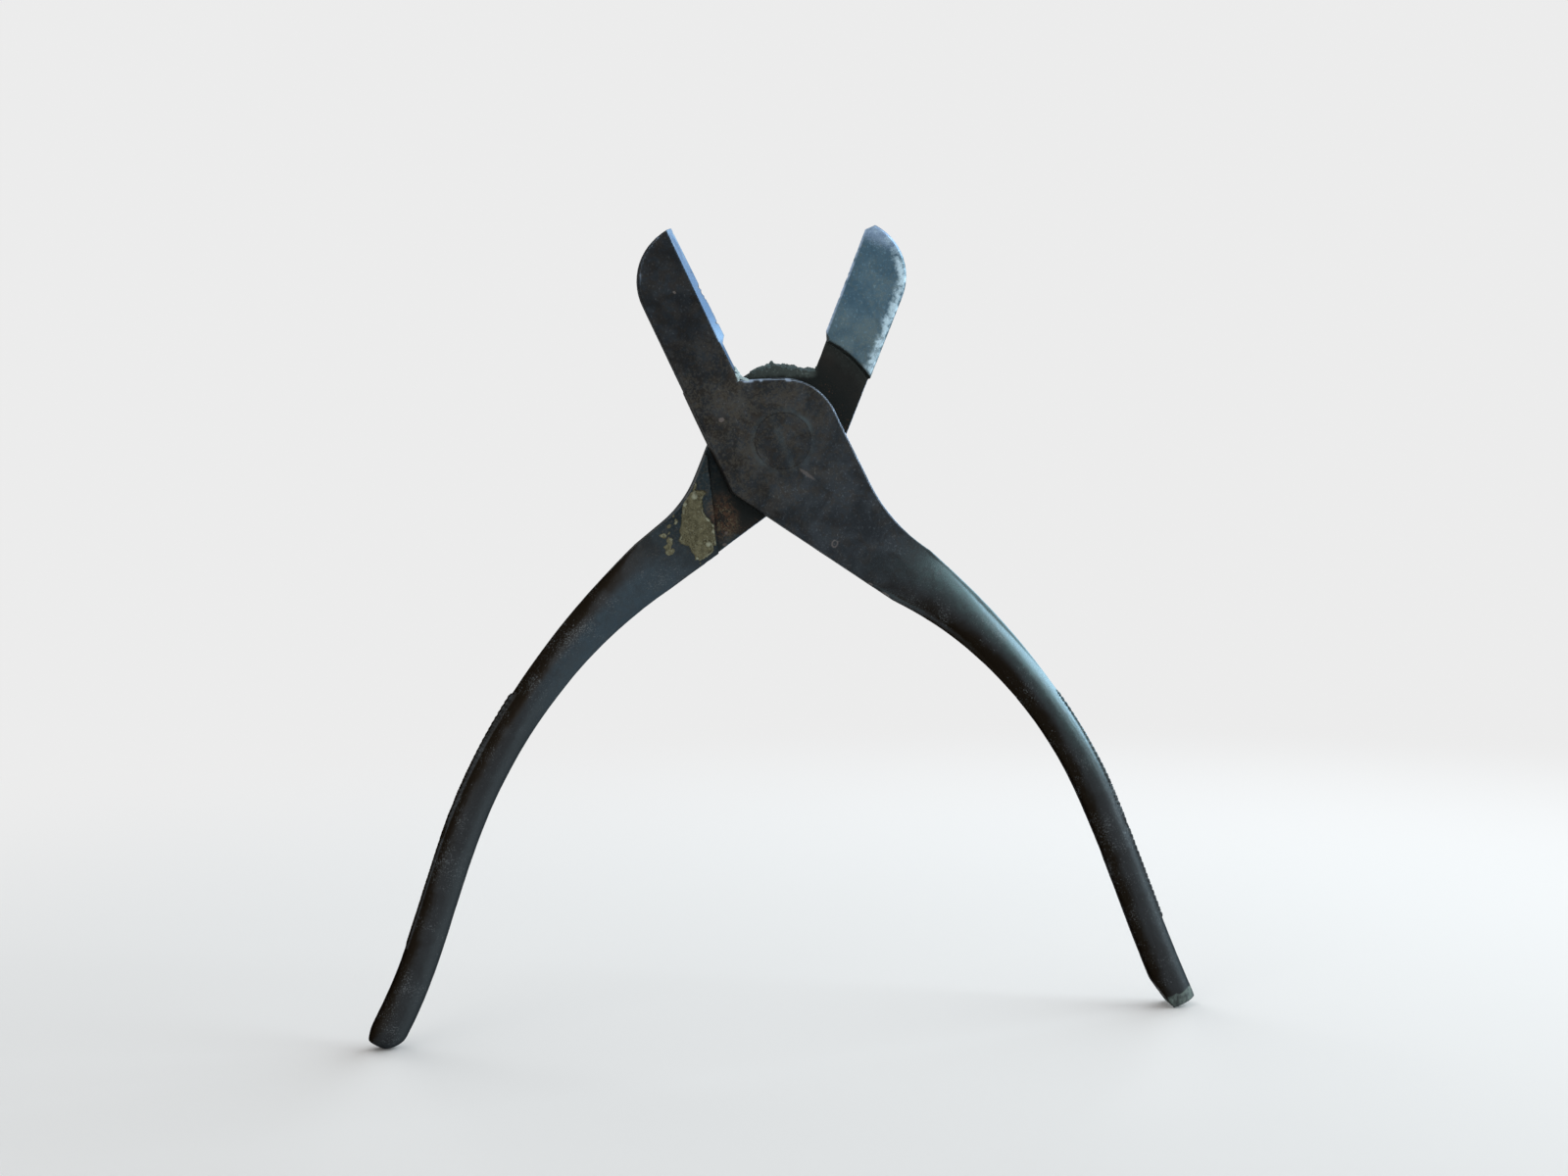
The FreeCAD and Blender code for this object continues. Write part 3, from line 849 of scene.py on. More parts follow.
class FinishStack:
    """A material made of finishes laid over one another, each showing where its mask does."""

    def __init__(self, name: str, base: Finish, patch_size: float, speck_size: float) -> None:
        """Starts the material with its patina.

        Args:
            name: Name of the material.
            base: The lowest finish.
            patch_size: Width of the patina's patches in millimetres.
            speck_size: Width of its specks.
        """
        self.material, self.graph, self.shader = new_material(name)
        self.place = self.graph.node("TexCoord").outputs["Object"]
        self.patina = self.effect(Shared.PATINA, Patch_size=patch_size, Speck_size=speck_size)
        self.colour: object = (*base.colour, 1.0)
        self.roughness: object = base.roughness
        self.metallic: object = base.metallic

    def effect(self, kind: Shared, **inputs: object) -> dict[str, Socket]:
        """Puts a shared effect into the material and gives its outputs."""
        return EFFECTS.place(self.graph, kind, Place=self.place, **inputs)

    def specks(self, cover: float, size: float) -> Socket:
        """The mask of scattered specks with a cover and a size."""
        return self.effect(Shared.SPECKLE, Cover=cover, Speck_size=size)["Mask"]

    def lay(self, finish: Finish, *shares: object) -> None:
        """Lays a finish over what is there.

        Args:
            finish: The finish.
            shares: Masks and strengths, multiplied to say where it shows.
        """
        blend, mask = self.graph.blend, self.graph.times(*shares)
        self.colour = blend("RGBA", mask, self.colour, (*finish.colour, 1.0))
        self.roughness = blend("FLOAT", mask, self.roughness, finish.roughness)
        self.metallic = blend("FLOAT", mask, self.metallic, finish.metallic)

    def darken(self, factor: Socket) -> None:
        """Multiplies the colour by a number."""
        self.colour = self.graph.scaled(self.colour, factor)

    def shade(self, share: Socket, low: float, high: float) -> None:
        """Varies the brightness of the colour from low to high by a share."""
        self.darken(self.graph.line(share, high - low, low))

    def finish(self, height: Socket, depth: float) -> bpy.types.Material:
        """Feeds the shader and roughens the surface.

        Args:
            height: Height over the surface, from 0 to 1.
            depth: The depth of the relief in millimetres.

        Returns:
            The material.
        """
        graph, shader = self.graph, self.shader
        graph.feed(shader.inputs["Base Color"], self.colour)
        graph.feed(shader.inputs["Roughness"], self.roughness)
        graph.feed(shader.inputs["Metallic"], self.metallic)
        shader.inputs["Specular IOR Level"].default_value = 0.25
        shader.inputs["Specular Tint"].default_value = (0.35, 0.35, 0.35, 1.0)
        bump = graph.node("Bump")
        bump.inputs["Strength"].default_value = 1.0
        bump.inputs["Distance"].default_value = depth * MM
        graph.feed(bump.inputs["Height"], height)
        graph.feed(shader.inputs["Normal"], bump.outputs["Normal"])
        return self.material


@dataclass(frozen=True)
class Fleck:
    """One mark on the face: its place, size, turn in degrees, shape, finish and strength."""

    across: float
    up: float
    length: float
    width: float
    turn: float = 0.0
    ring: float = 0.0
    finish: Finish = PALE_FLECK
    share: float = 0.45


@dataclass(frozen=True)
class ForgedSteel:
    """The finish of one forged half, from dark forging skin to ground edge.

    Attributes:
        name: Name of the material.
        skin: The two mottles of the forging skin.
        jaw_shade: How bright the skin is on the blade and the cheek's lower left, against the
            rest.
        edge_turn: Lean of the cutting edge from the vertical, in degrees.
        flecks: The single marks on its face.
        ash: How much of the skin is specked with ash.
        palm_highlight: Finish of the painted highlight, like a polish, on the lit root of the
            handle.
    """

    name: str
    skin: tuple[Finish, Finish]
    jaw_shade: float
    edge_turn: float
    flecks: Sequence[Fleck] = ()
    ash: float = 0.5
    palm_highlight: Finish = PALM_HIGHLIGHT_STEEL

    def build(self) -> bpy.types.Material:
        """Builds the material.

        Returns:
            The material.
        """
        stack = FinishStack(self.name, self.skin[0], 1.9, 0.5)
        graph, patina = stack.graph, stack.patina
        stack.lay(self.skin[1], graph.line(patina["Patches"], 0.75, graph.mark("cool")))
        stack.shade(patina["Clouds"], 0.74, 1.26)
        stack.shade(patina["Specks"], 0.84, 1.60)
        stack.shade(graph.mark("jaw"), 1.0, self.jaw_shade)
        stack.lay(ASH, stack.specks(self.ash, 0.55), graph.mark("dusted"), 0.40)
        self.lay_handle(stack)
        self.lay_ground(stack)
        self.lay_recess(stack)
        self.lay_marks(stack)
        stack.shade(patina["Grain"], 0.80, 1.20)
        return stack.finish(graph.line(patina["Specks"], 0.3, patina["Grain"]), 0.022)

    def lay_handle(self, stack: FinishStack) -> None:
        """Lays the handle's painted shade and light, its painted highlights and its pale specks.

        Args:
            stack: The material so far.
        """
        graph, patina = stack.graph, stack.patina
        bar = graph.mark("bar")
        # How far each face turns to the lamps; low gets painted shade, high gets painted light.
        side = graph.line(patina["Clouds"], 0.10, graph.mark("faces_light"))
        stack.lay(HANDLE_GREY, bar)
        stack.lay(HANDLE_SHADED_BROWN, bar, graph.step(side, 0.55, 0.22))
        stack.lay(HANDLE_LIT_BLUE, bar, graph.step(side, 0.52, 0.86))
        # Painted highlight on the lit side of the root, laid unevenly.
        uneven = graph.line(patina["Patches"], 0.5, graph.line(patina["Grain"], 0.5, 0.35))
        stack.lay(self.palm_highlight, graph.mark("palm_highlight"), uneven)
        # Painted highlight along the lit side wall of the root.
        stack.lay(BRIM_HIGHLIGHT_STEEL, graph.mark("brim_highlight"), graph.line(patina["Grain"], 0.4, 0.7))
        stack.lay(PALE_SPECK, stack.specks(0.26, 0.3), bar, 0.45)

    def lay_ground(self, stack: FinishStack) -> None:
        """Lays the ground shear face, tip, rim wear with painted highlight, and ground bevel.

        Args:
            stack: The material so far.
        """
        graph, patina = stack.graph, stack.patina
        turn = math.radians(self.edge_turn)
        streaks = stack.effect(Shared.STREAKS, Turn=turn, Spacing=0.30)["Lines"]
        hatch = stack.effect(Shared.STREAKS, Turn=turn + 1.1, Spacing=0.24)["Lines"]
        stone, rim, bevel = (graph.mark(name) for name in ("stone", "rim", "bevel"))
        stack.lay(STONE_STEEL, stone)
        soft = graph.line(patina["Clouds"], 0.35, graph.times(stack.specks(0.55, 0.8), 0.45))
        stack.lay(STONE_DUST, stone, graph.line(graph.mark("low"), 0.35, soft))
        lined = graph.line(streaks, 0.16, 0.74)
        lined = graph.line(patina["Specks"], 0.48, lined)
        lined = graph.line(patina["Clouds"], 0.24, lined)
        stack.darken(graph.blend("FLOAT", stone, 1.0, lined))
        tip = graph.line(patina["Grain"], 1.0, graph.math("SUBTRACT", graph.mark("tip"), 0.75))
        stack.lay(STONE_TIP, stone, graph.step(tip, 0.05, 0.9))
        # The worn rim, painted bright as a highlight, patchy along the back.
        patchy = graph.line(hatch, 0.5, graph.math("SUBTRACT", rim, 1.45))
        patchy = graph.line(patina["Grain"], 0.6, patchy)
        patchy = graph.line(patina["Patches"], 0.9, patchy)
        stack.lay(STONE_RIM_HIGHLIGHT, rim, graph.step(patchy, -0.35, 0.75))
        stack.lay(BEVEL_STEEL, bevel)
        stack.lay(BEVEL_LIGHT, bevel, graph.times(graph.mark("ends"), patina["Clouds"]))
        stack.lay(BEVEL_SHADE, bevel, graph.times(graph.step(hatch, 0.5, 0.75), 0.40))
        stack.lay(SLATE, graph.mark("nick"))

    @staticmethod
    def lay_recess(stack: FinishStack) -> None:
        """Lays the near-black recess floor, browner away from the pivot, its rust and its cake.

        Args:
            stack: The material so far.
        """
        graph, patina = stack.graph, stack.patina
        dark_recess, rusty = graph.mark("dark_recess"), graph.mark("rusty")
        stack.lay(RECESS_BLACK, dark_recess)
        browner = graph.line(patina["Clouds"], 0.6, 0.4)
        stack.lay(RECESS_BROWN, graph.mark("brown"), browner, dark_recess)
        stack.lay(RUST, stack.specks(0.12, 0.28), dark_recess)
        stack.lay(EARTH, rusty, 0.55)
        stack.lay(RUST, stack.specks(0.75, 0.75), rusty, 0.6)
        stack.lay(OCHRE, stack.specks(0.45, 0.42), rusty, 0.8)
        stack.lay(CAKED, graph.mark("caked"), graph.line(patina["Specks"], 0.6, 0.4))

    def lay_marks(self, stack: FinishStack) -> None:
        """Lays settled grime, rivet ring, edge wear and painted highlight, cut end and flecks.

        Args:
            stack: The material so far.
        """
        graph = stack.graph
        stack.lay(GRIME, stack.effect(Shared.GRIME, Hollow=graph.mark("hollow"))["Mask"])
        stack.lay(SEAT_BLUE, graph.mark("seat"), graph.line(stack.patina["Clouds"], 0.5, 0.25))
        # Worn edges with their painted highlight, and the bare cut end.
        for finish, mark, size, uneven in ((WORN_AND_LIT_STEEL, "standing", 2.2, 0.30),
                                           (CUT_END, "cut", 1.6, 0.8)):
            stack.lay(finish, stack.effect(Shared.WORN_AND_LIT_EDGES, Standing=graph.mark(mark),
                                           Break_size=size, Uneven=uneven)["Mask"])
        front = graph.mark("face")
        for fleck in self.flecks:
            spot = stack.effect(Shared.FLECK, Across=fleck.across, Up=fleck.up,
                                Turn=math.radians(fleck.turn), Length=fleck.length,
                                Width=fleck.width, Ring=fleck.ring)["Mask"]
            stack.lay(fleck.finish, spot, front, fleck.share)


# ---------------------------------------------------------------- the forged halves


# Places downhill between which the skin gets dusty, and turns bluer.
DUSTY_FROM = (22.0, -14.0)
COOL_FROM = (-16.0, 30.0)
# Heights in a half's own frame between which one finish turns into another.
CHEEK_TO_JAW = (12.0, 26.0)
JAW_COOL = (14.0, 28.0)
JAW_DUST = (34.0, 14.0)
LOW_ON_JAW = (34.0, 26.0)
ROOT_TO_CHEEK = (-24.0, -12.0)
CHEEK_TO_ROOT = (-10.0, -24.0)
MIDDLE_OF_EDGE = 36.0


@dataclass(frozen=True)
class Blade:
    """Sizes of a blade in the half's own frame, where its cutting edge stands upright.

    Attributes:
        edge: Place of the cutting edge across.
        width: Width from the edge to the back.
        reach: Height of the tip.
        throat: Height of the throat, where the free cutting edge starts.
        root: Height at which the ground bevel starts.
        full: Thickness of the blade, from the half's outer face to its shear face.
        nose: Radius of the round nose.
        bevel: Width of the ground bevel.
        rim: Distances from the back where the worn, painted-bright rim starts and is full.
    """

    edge: float = -0.7
    width: float = 13.0
    reach: float = 50.7
    throat: float = 24.2
    root: float = 16.0
    full: float = 7.9
    nose: float = 12.2
    bevel: float = 3.4
    rim: tuple[float, float] = (3.3, 1.2)

    def from_back(self, across: np.ndarray, up: np.ndarray) -> np.ndarray:
        """Distance from the back of the blade and its round nose.

        Args:
            across: Places across, in the half's own frame.
            up: Places up.

        Returns:
            The distance for each place.
        """
        back = self.edge - self.width
        centre = (back + self.nose, self.reach - self.nose)
        round_nose = self.nose - np.hypot(across - centre[0], up - centre[1])
        return np.where(up > centre[1], round_nose, across - back)


@dataclass(frozen=True)
class Bar:
    """Sizes of a handle: its bow, its straight grip and the pad along it.

    Attributes:
        apex: Place across where the bow's middle line is farthest out.
        drop: Height of the bow's hub under the pivot.
        bow: Radius of the bow.
        lean: Lean of the straight grip in degrees.
        grip: Length of the straight grip.
        pad_run: How far the pad runs down the grip.
        pad_angle: How far it runs up the bow, in degrees over the level.
        kick: How far the end of the grip is kicked outward.
        half_width: Half the width of the handle.
        kick_run: Length of the kicked part.
        pad_half_width: Half the width of the pad.
        pitch: Distance between grooves of the serration.
        groove: Depth of a groove.
        slant: Slant of the grooves across the pad.
    """

    apex: float
    drop: float
    bow: float
    lean: float
    grip: float
    pad_run: float
    pad_angle: float
    kick: float
    half_width: float = 3.9
    kick_run: float = 20.0
    pad_half_width: float = 2.3
    pitch: float = 1.35
    groove: float = 0.34
    slant: float = 0.62


@dataclass
class ForgedHalf:
    """One forged half: it is refined, worn, marked and finished.

    Attributes:
        node: Name of its solid.
        body: Body that it rides on.
        slot: Name of a material slot; not used.
        blade: Sizes of its blade.
        bar: Sizes of its handle.
        finish: Its finish.
        seed: Picks its random marks.
        chips: Place along the edge, half width and depth of each chip of the cutting edge.
        fineness: Fineness of its mesh.
        dents: How many dents it has.
        nicks: How many small nicks its cutting edge has besides the chips.
        stone_from: Distance from the pivot at which the ground shear face starts.
        lit_edge_side: Direction towards the lamps; edges facing it get the most painted highlight.
        lit_side: Direction towards the lamps, which sets the handle's painted light and shade.
        palm_highlight_from: Turn towards the lamps where the painted highlight starts and is full.
        palm_highlight_reach: Heights between which the painted highlight fades in from below.
        palm_highlight_start: Heights between which it fades in from above.
        brim_highlight: Strength of the painted highlight along the lit side wall of the root.
        bar_from: Heights between which the skin turns into the handle's finish.
        cool_from: Places along downhill between which the skin turns bluer.
        crown_fall: How much the root of the handle is crowned.
        crown_start: Heights between which the crown begins.
        cut_end: Strength of the bare cut at the end of the handle.
        bright_edge: Strength of the bright line along the cutting edge.
        dull_back: How far the worn, painted-bright edge along the blade's back is dulled.
        piece: The finished piece, once built.
    """

    node: str
    body: str
    slot: str
    blade: Blade
    bar: Bar
    finish: ForgedSteel
    seed: int
    chips: Sequence[tuple[float, float, float]]
    fineness: int = 9
    dents: int = 70
    nicks: int = 26
    stone_from: float = 23.3
    lit_edge_side: tuple[float, float, float] = (0.74, -0.25, 0.62)
    lit_side: tuple[float, float, float] = (0.93, 0.0, 0.37)
    palm_highlight_from: tuple[float, float] = (-0.34, 0.50)
    palm_highlight_reach: tuple[float, float] = (-106.0, -80.0)
    palm_highlight_start: tuple[float, float] = (-27.0, -42.0)
    brim_highlight: float = 1.0
    bar_from: tuple[float, float] = (-27.0, -50.0)
    cool_from: tuple[float, float] = COOL_FROM
    crown_fall: float = 2.3
    crown_start: tuple[float, float] = (-26.0, -44.0)
    cut_end: float = 0.0
    bright_edge: float = 0.0
    dull_back: float = 0.0
    piece: bpy.types.Object = field(init=False, default=None)

    def to_half(self, points: np.ndarray) -> np.ndarray:
        """Takes points of the assembly into the half's own frame.

        Args:
            points: Points of the assembly, one row each.

        Returns:
            The same points in the half's frame.
        """
        raise NotImplementedError

    def from_half(self, local: np.ndarray) -> np.ndarray:
        """Takes points of the half's own frame into the assembly.

        Args:
            local: Points in the half's frame, one row each.

        Returns:
            The same points in the assembly.
        """
        raise NotImplementedError

    def along_bar(self, local: np.ndarray) -> tuple[np.ndarray, np.ndarray]:
        """Run along the handle and offset outward from its centre line.

        Args:
            local: Points in the half's own frame.

        Returns:
            The run from the lower end of the bow, rising towards the joint, and the offset.
        """
        bar = self.bar
        lean = math.radians(bar.lean)
        hub = np.array([bar.apex - bar.bow, -bar.drop])
        across, up = local[:, 0] - hub[0], local[:, 2] - hub[1]
        angle = np.arctan2(up, across)
        reach = np.hypot(across, up)
        out = np.array([math.cos(lean), -math.sin(lean)])
        down = np.array([-math.sin(lean), -math.cos(lean)])
        on_bow = angle > -lean
        run = np.where(on_bow, (angle + lean) * (bar.bow + bar.half_width),
                       -(across * down[0] + up * down[1]))
        offset = np.where(on_bow, reach, across * out[0] + up * out[1]) - bar.bow
        kicked = np.clip((bar.kick_run - bar.grip - run) / bar.kick_run, 0.0, 1.3)
        return run, offset - bar.kick * kicked ** 2

    def on_pad(self, local: np.ndarray, margin: float) -> np.ndarray:
        """How much each point belongs to the crest of the grip pad.

        Args:
            local: Points in the half's own frame.
            margin: Extra width taken in, in millimetres.

        Returns:
            A share from 0 to 1.
        """
        bar = self.bar
        run, offset = self.along_bar(local)
        top = math.radians(bar.pad_angle + bar.lean) * (bar.bow + bar.half_width)
        inside = smooth_step(run, -bar.pad_run - margin, -bar.pad_run + 0.4 - margin)
        inside *= smooth_step(run, top + 0.4 + margin, top + margin)
        inside *= smooth_step(np.abs(local[:, 1] + THICKNESS / 2),
                              bar.pad_half_width + 0.1 + margin,
                              bar.pad_half_width - 0.35 + margin)
        return inside * smooth_step(offset, bar.half_width - 0.6 - margin, bar.half_width - margin)

    def fine_zone(self, points: np.ndarray) -> np.ndarray:
        """Says which points need finer work: the cutting edge and the pad.

        Args:
            points: Points of the assembly.

        Returns:
            One truth value for each point.
        """
        local = self.to_half(points)
        blade = self.blade
        near_edge = (local[:, 0] > blade.edge - 3.2) & (local[:, 2] > blade.throat - 6.0)
        return near_edge | (self.on_pad(local, 0.5) > 0.0)

    def build(self) -> bpy.types.Object:
        """Makes the piece, wears it, marks it and dresses it.

        Returns:
            The finished piece.
        """
        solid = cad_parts[self.node]
        self.piece = refined_copy(solid, f"{self.node}_dressed", self.fineness)
        mesh = self.piece.data
        skin = Skin(mesh)
        sharp = (skin.relief(1) > 0.018) | self.fine_zone(skin.points)
        split_cells(mesh, cells_with(mesh, sharp))
        skin = Skin(mesh)
        self.even_sides(skin)
        self.crown(skin)
        marks = self.zones(skin)
        crisp = smooth_step(skin.relief(3), 0.004, 0.030)
        self.wear(skin, marks)
        self.dent(skin, marks)
        self.serrate(skin)
        marks["nick"] = self.chip(skin)
        skin.points = np.clip(skin.points, *solid_box(solid))
        skin.store()
        self.note_edges(skin, marks, crisp)
        for name, values in marks.items():
            skin.mark(name, values)
        dress(self.piece, self.finish.build())
        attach(self.piece, self.body)
        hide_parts(self.node)
        return self.piece

    def zones(self, skin: Skin) -> dict[str, np.ndarray]:
        """Finds the parts of the surface that have a finish of their own.

        Args:
            skin: The refined surface.

        Returns:
            One mask for each finish.
        """
        blade = self.blade
        local = self.to_half(skin.points)
        outward = skin.normals()
        across, up = local[:, 0], local[:, 2]
        bevel, shear = self.ground_cells(skin, local)
        to_back = blade.from_back(across, up) + 0.5 * skin.swell(1.3, self.seed)
        to_back += 0.35 * skin.swell(0.6, self.seed + 2)
        # A worn rim along the blade's back, painted bright as a highlight.
        rim_highlight = smooth_step(to_back, *blade.rim) * shear
        rim_highlight *= 0.45 + 0.55 * smooth_step(to_back, 0.1, 0.8)
        rim_highlight *= 1.0 - 0.6 * smooth_step(up, blade.reach - 6.0, blade.reach - 2.5)
        run, offset = self.along_bar(local)
        near_end = run + self.bar.grip + 0.6 * skin.swell(1.8, 91)
        # How far each face turns towards the lamps; it places painted light, shade and highlights.
        side = outward @ np.array(self.lit_side)
        # The rivet's ring is painted stronger towards the upper right, as a painted highlight.
        corner = np.arctan2(skin.points[:, 2], skin.points[:, 0]) - 0.7
        seat = skin.seat(skin.from_pivot()) * (0.55 + 0.9 * np.exp(-(corner / 0.45) ** 2))
        to_right = skin.downhill()
        to_left = -0.80 * skin.points[:, 0] - 0.60 * skin.points[:, 2]
        # The cheek is darker towards the lower left.
        low_left = smooth_step(to_left, 5.0, 13.0) * smooth_step(up, *ROOT_TO_CHEEK)
        in_palm_highlight = smooth_step(up, *self.palm_highlight_reach)
        facing = skin.facing()
        marks = {name: np.zeros(len(up)) for name in ("dark_recess", "brown", "shoulder", "caked",
                                                      "rusty")}
        marks.update({
            "bevel": skin.averaged(bevel.astype(float), 1)
                     * (0.55 + 0.45 * smooth_step(up, blade.throat - 2.0, blade.throat + 1.0)),
            "stone": skin.averaged(shear.astype(float), 1),
            "rim": rim_highlight,
            "tip": smooth_step(up, blade.reach - 7.0, blade.reach - 1.0) * shear,
            "low": smooth_step(up, *LOW_ON_JAW) * shear,
            "bar": smooth_step(up, *self.bar_from),
            "jaw": np.maximum(smooth_step(up, *CHEEK_TO_JAW), 0.75 * low_left),
            # Painted light and shade of the handle, by how far it faces the lamps.
            "faces_light": 0.5 + 0.5 * side,
            "cool": 0.6 * smooth_step(to_right, *self.cool_from)
                    + 0.35 * smooth_step(up, *JAW_COOL),
            "dusted": smooth_step(to_right, *DUSTY_FROM) * smooth_step(up, *JAW_DUST),
            "seat": seat * facing,
            "cut": smooth_step(near_end, 2.9, 2.3) * (offset > -2.4) * self.cut_end,
            # Painted highlight on the lit side of the handle's root.
            "palm_highlight": smooth_step(side, *self.palm_highlight_from) * smooth_step(up, *self.palm_highlight_start)
                    * in_palm_highlight,
            # Painted highlight along the lit side wall of the handle's root.
            "brim_highlight": smooth_step(side, 0.58, 0.92) * smooth_step(up, *CHEEK_TO_ROOT)
                    * smooth_step(-outward[:, 1], -0.05, 0.30) * in_palm_highlight * self.brim_highlight,
            "ends": smooth_step(np.abs(up - MIDDLE_OF_EDGE), 4.0, 13.0)
                    * smooth_step(up, blade.throat - 1.0, blade.throat + 1.5),
            "face": facing,
        })
        return marks

    def ground_cells(self, skin: Skin, local: np.ndarray) -> tuple[np.ndarray, np.ndarray]:
        """Finds what was ground: the bevel of the cutting edge and the shear face.

        Args:
            skin: The refined surface.
            local: Its points in the half's own frame.

        Returns:
            One truth value for each point, for the bevel and for the shear face.
        """
        blade = self.blade
        normals = self.to_half(skin.points + skin.normals()) - local
        across, up = local[:, 0], local[:, 2]
        depth = local[:, 1] + THICKNESS
        bevel = (normals[:, 0] > 0.25) & (normals[:, 1] < -0.12) & (up > blade.root + 0.6)
        bevel &= across > blade.edge - blade.bevel
        bevel &= (up > blade.throat + 0.5) | (across > blade.edge - 1.9)
        shear = (np.hypot(across, up) > self.stone_from) & (up > 0)
        shear &= (depth > blade.full - 0.6) & (normals[:, 1] > 0.25)
        return bevel, shear

    def note_edges(self, skin: Skin, marks: dict[str, np.ndarray], crisp: np.ndarray) -> None:
        """Marks standing edges, worn and painted brighter where they face the lamps, and hollows.

        Args:
            skin: The finished surface.
            marks: The masks, to which these two are added.
            crisp: How much each point stood on an edge before the wear.
        """
        local = self.to_half(skin.points)
        spread = np.clip(1.4 * skin.averaged(crisp, 2), 0.0, 1.0)
        # Edges that face the lamps get the most: a painted highlight on top of the wear.
        side = smooth_step(skin.normals() @ np.array(self.lit_edge_side), -0.15, 0.50)
        off_bore = smooth_step(skin.from_pivot(), HEAD_EDGE, HEAD_EDGE + 0.8)
        blade, across, up = self.blade, local[:, 0], local[:, 2]
        by_bevel = (up > blade.root) & (across > blade.edge - blade.bevel)
        kept = (1.0 - 0.9 * by_bevel) * (1.0 - 0.6 * marks["stone"]) * (1.0 - marks["shoulder"])
        smooth_bar = 1.0 - 0.92 * smooth_step(up, -24.0, -33.0)
        standing = spread * (0.10 + 0.90 * side) * off_bore * smooth_bar * kept
        on_blade = up > blade.throat
        off_back = blade.from_back(across, up)
        standing *= 1.0 - self.dull_back * on_blade * smooth_step(off_back, 2.4, 1.4)
        at_edge = on_blade * smooth_step(across, blade.edge - 0.8, blade.edge - 0.3)
        at_edge *= 0.7 + 0.5 * skin.swell(1.2, self.seed + 14)
        marks["standing"] = np.maximum(standing, self.bright_edge * at_edge)
        at_step = smooth_step(np.abs(np.hypot(across, up) - STEP_RADIUS), 1.6, 0.8) * (up > 0.0)
        hollow = smooth_step(-skin.relief(6), 0.02, 0.12) * off_bore
        marks["hollow"] = hollow * (1.0 - 0.85 * at_step)

    def even_sides(self, skin: Skin) -> None:
        """Evens out the small flats along the curved sides, away from their edges.

        Args:
            skin: The surface.
        """
        normals = skin.normals()
        side = (np.abs(normals[:, 1]) < 0.35) & (self.to_half(skin.points)[:, 2] < 13.0)
        side = (side & (skin.from_pivot() > 8.0)).astype(float)
        inner = smooth_step(skin.averaged(side, 3), 0.75, 1.0) * side
        weight = np.maximum(skin.averaged(side, 14), 0.05)
        mean = skin.averaged(skin.points * side[:, None], 14) / weight[:, None]
        normals[:, 1] = 0.0
        normals /= np.maximum(np.linalg.norm(normals, axis=1), 1e-6)[:, None]
        amount = np.clip(np.einsum("ij,ij->i", mean - skin.points, normals), -0.15, 0.02)
        skin.points += normals * (amount * inner)[:, None]
        skin.store()

    def crown(self, skin: Skin) -> None:
        """Lets both faces of the handle's root fall away towards its sides.

        Args:
            skin: The surface.
        """
        local = self.to_half(skin.points)
        _, offset = self.along_bar(local)
        up = local[:, 2]
        levels = np.arange(-128.0, -14.0, 2.0)
        level = np.clip(np.digitize(up, levels), 1, len(levels) - 1)
        found = [skin.points[level == number, 1] for number in range(len(levels))]
        low = np.array([part.min() if len(part) else -10.5 for part in found])
        high = np.array([part.max() if len(part) else -2.5 for part in found])
        middle = np.interp(up, levels - 1.0, (low + high) / 2)
        half = np.interp(up, levels - 1.0, (high - low) / 2)
        along = smooth_step(up, *self.crown_start) * smooth_step(up, -98.0, -62.0)
        wide = self.bar.half_width + 2.8 * smooth_step(up, -60.0, -24.0)
        fall = self.crown_fall * np.clip(np.abs(offset) / wide, 0.0, 1.0) ** 2 * along
        kept = 1.0 - fall / np.maximum(half, 3.0)
        skin.points[:, 1] = middle + (skin.points[:, 1] - middle) * kept
        skin.store()

    def wear(self, skin: Skin, marks: dict[str, np.ndarray]) -> None:
        """Rounds standing edges unevenly and lets the forged faces swell and sink a little.

        Args:
            skin: The surface.
            marks: The masks found by zones.
        """
        worked = np.clip(marks["stone"] + marks["bevel"], 0.0, 1.0)
        bore = smooth_step(skin.from_pivot(), HEAD_EDGE, HEAD_EDGE + 0.6)
        soft = skin.averaged(skin.points, 4)
        relief = skin.relief(4)
        uneven = 0.55 + 0.45 * skin.swell(3.2, self.seed)
        share = smooth_step(relief, 0.004, 0.05) * uneven * (1.0 - 0.55 * worked) * bore
        skin.points += (soft - skin.points) * np.clip(share, 0.0, 0.95)[:, None]
        skin.store()
        swell = np.clip(0.5 + 0.5 * skin.swell(9.0, self.seed + 3), 0.0, 1.0)
        fine = np.clip(0.5 + 0.5 * skin.swell(2.1, self.seed + 5), 0.0, 1.0)
        skin.press(((0.10 * swell + 0.035 * fine) * (1.0 - 0.85 * worked) + 0.006 * fine) * bore)

    def dent(self, skin: Skin, marks: dict[str, np.ndarray]) -> None:
        """Leaves small dents all over the forging.

        Args:
            skin: The surface.
            marks: The masks found by zones.
        """
        draw = np.random.default_rng(self.seed)
        centres = draw.integers(0, len(skin.points), self.dents)
        depth = np.zeros(len(skin.points))
        for centre in centres:
            radius = draw.uniform(0.35, 1.1)
            deep = draw.uniform(0.03, 0.11)
            stretch = draw.uniform(0.5, 1.0)
            offset = skin.points - skin.points[centre]
            offset[:, 2] *= stretch
            away = np.einsum("ij,ij->i", offset, offset)
            depth += deep * np.exp(-away / radius ** 2)
        skin.press(np.minimum(depth, 0.16) * (1.0 - 0.8 * marks["stone"]))

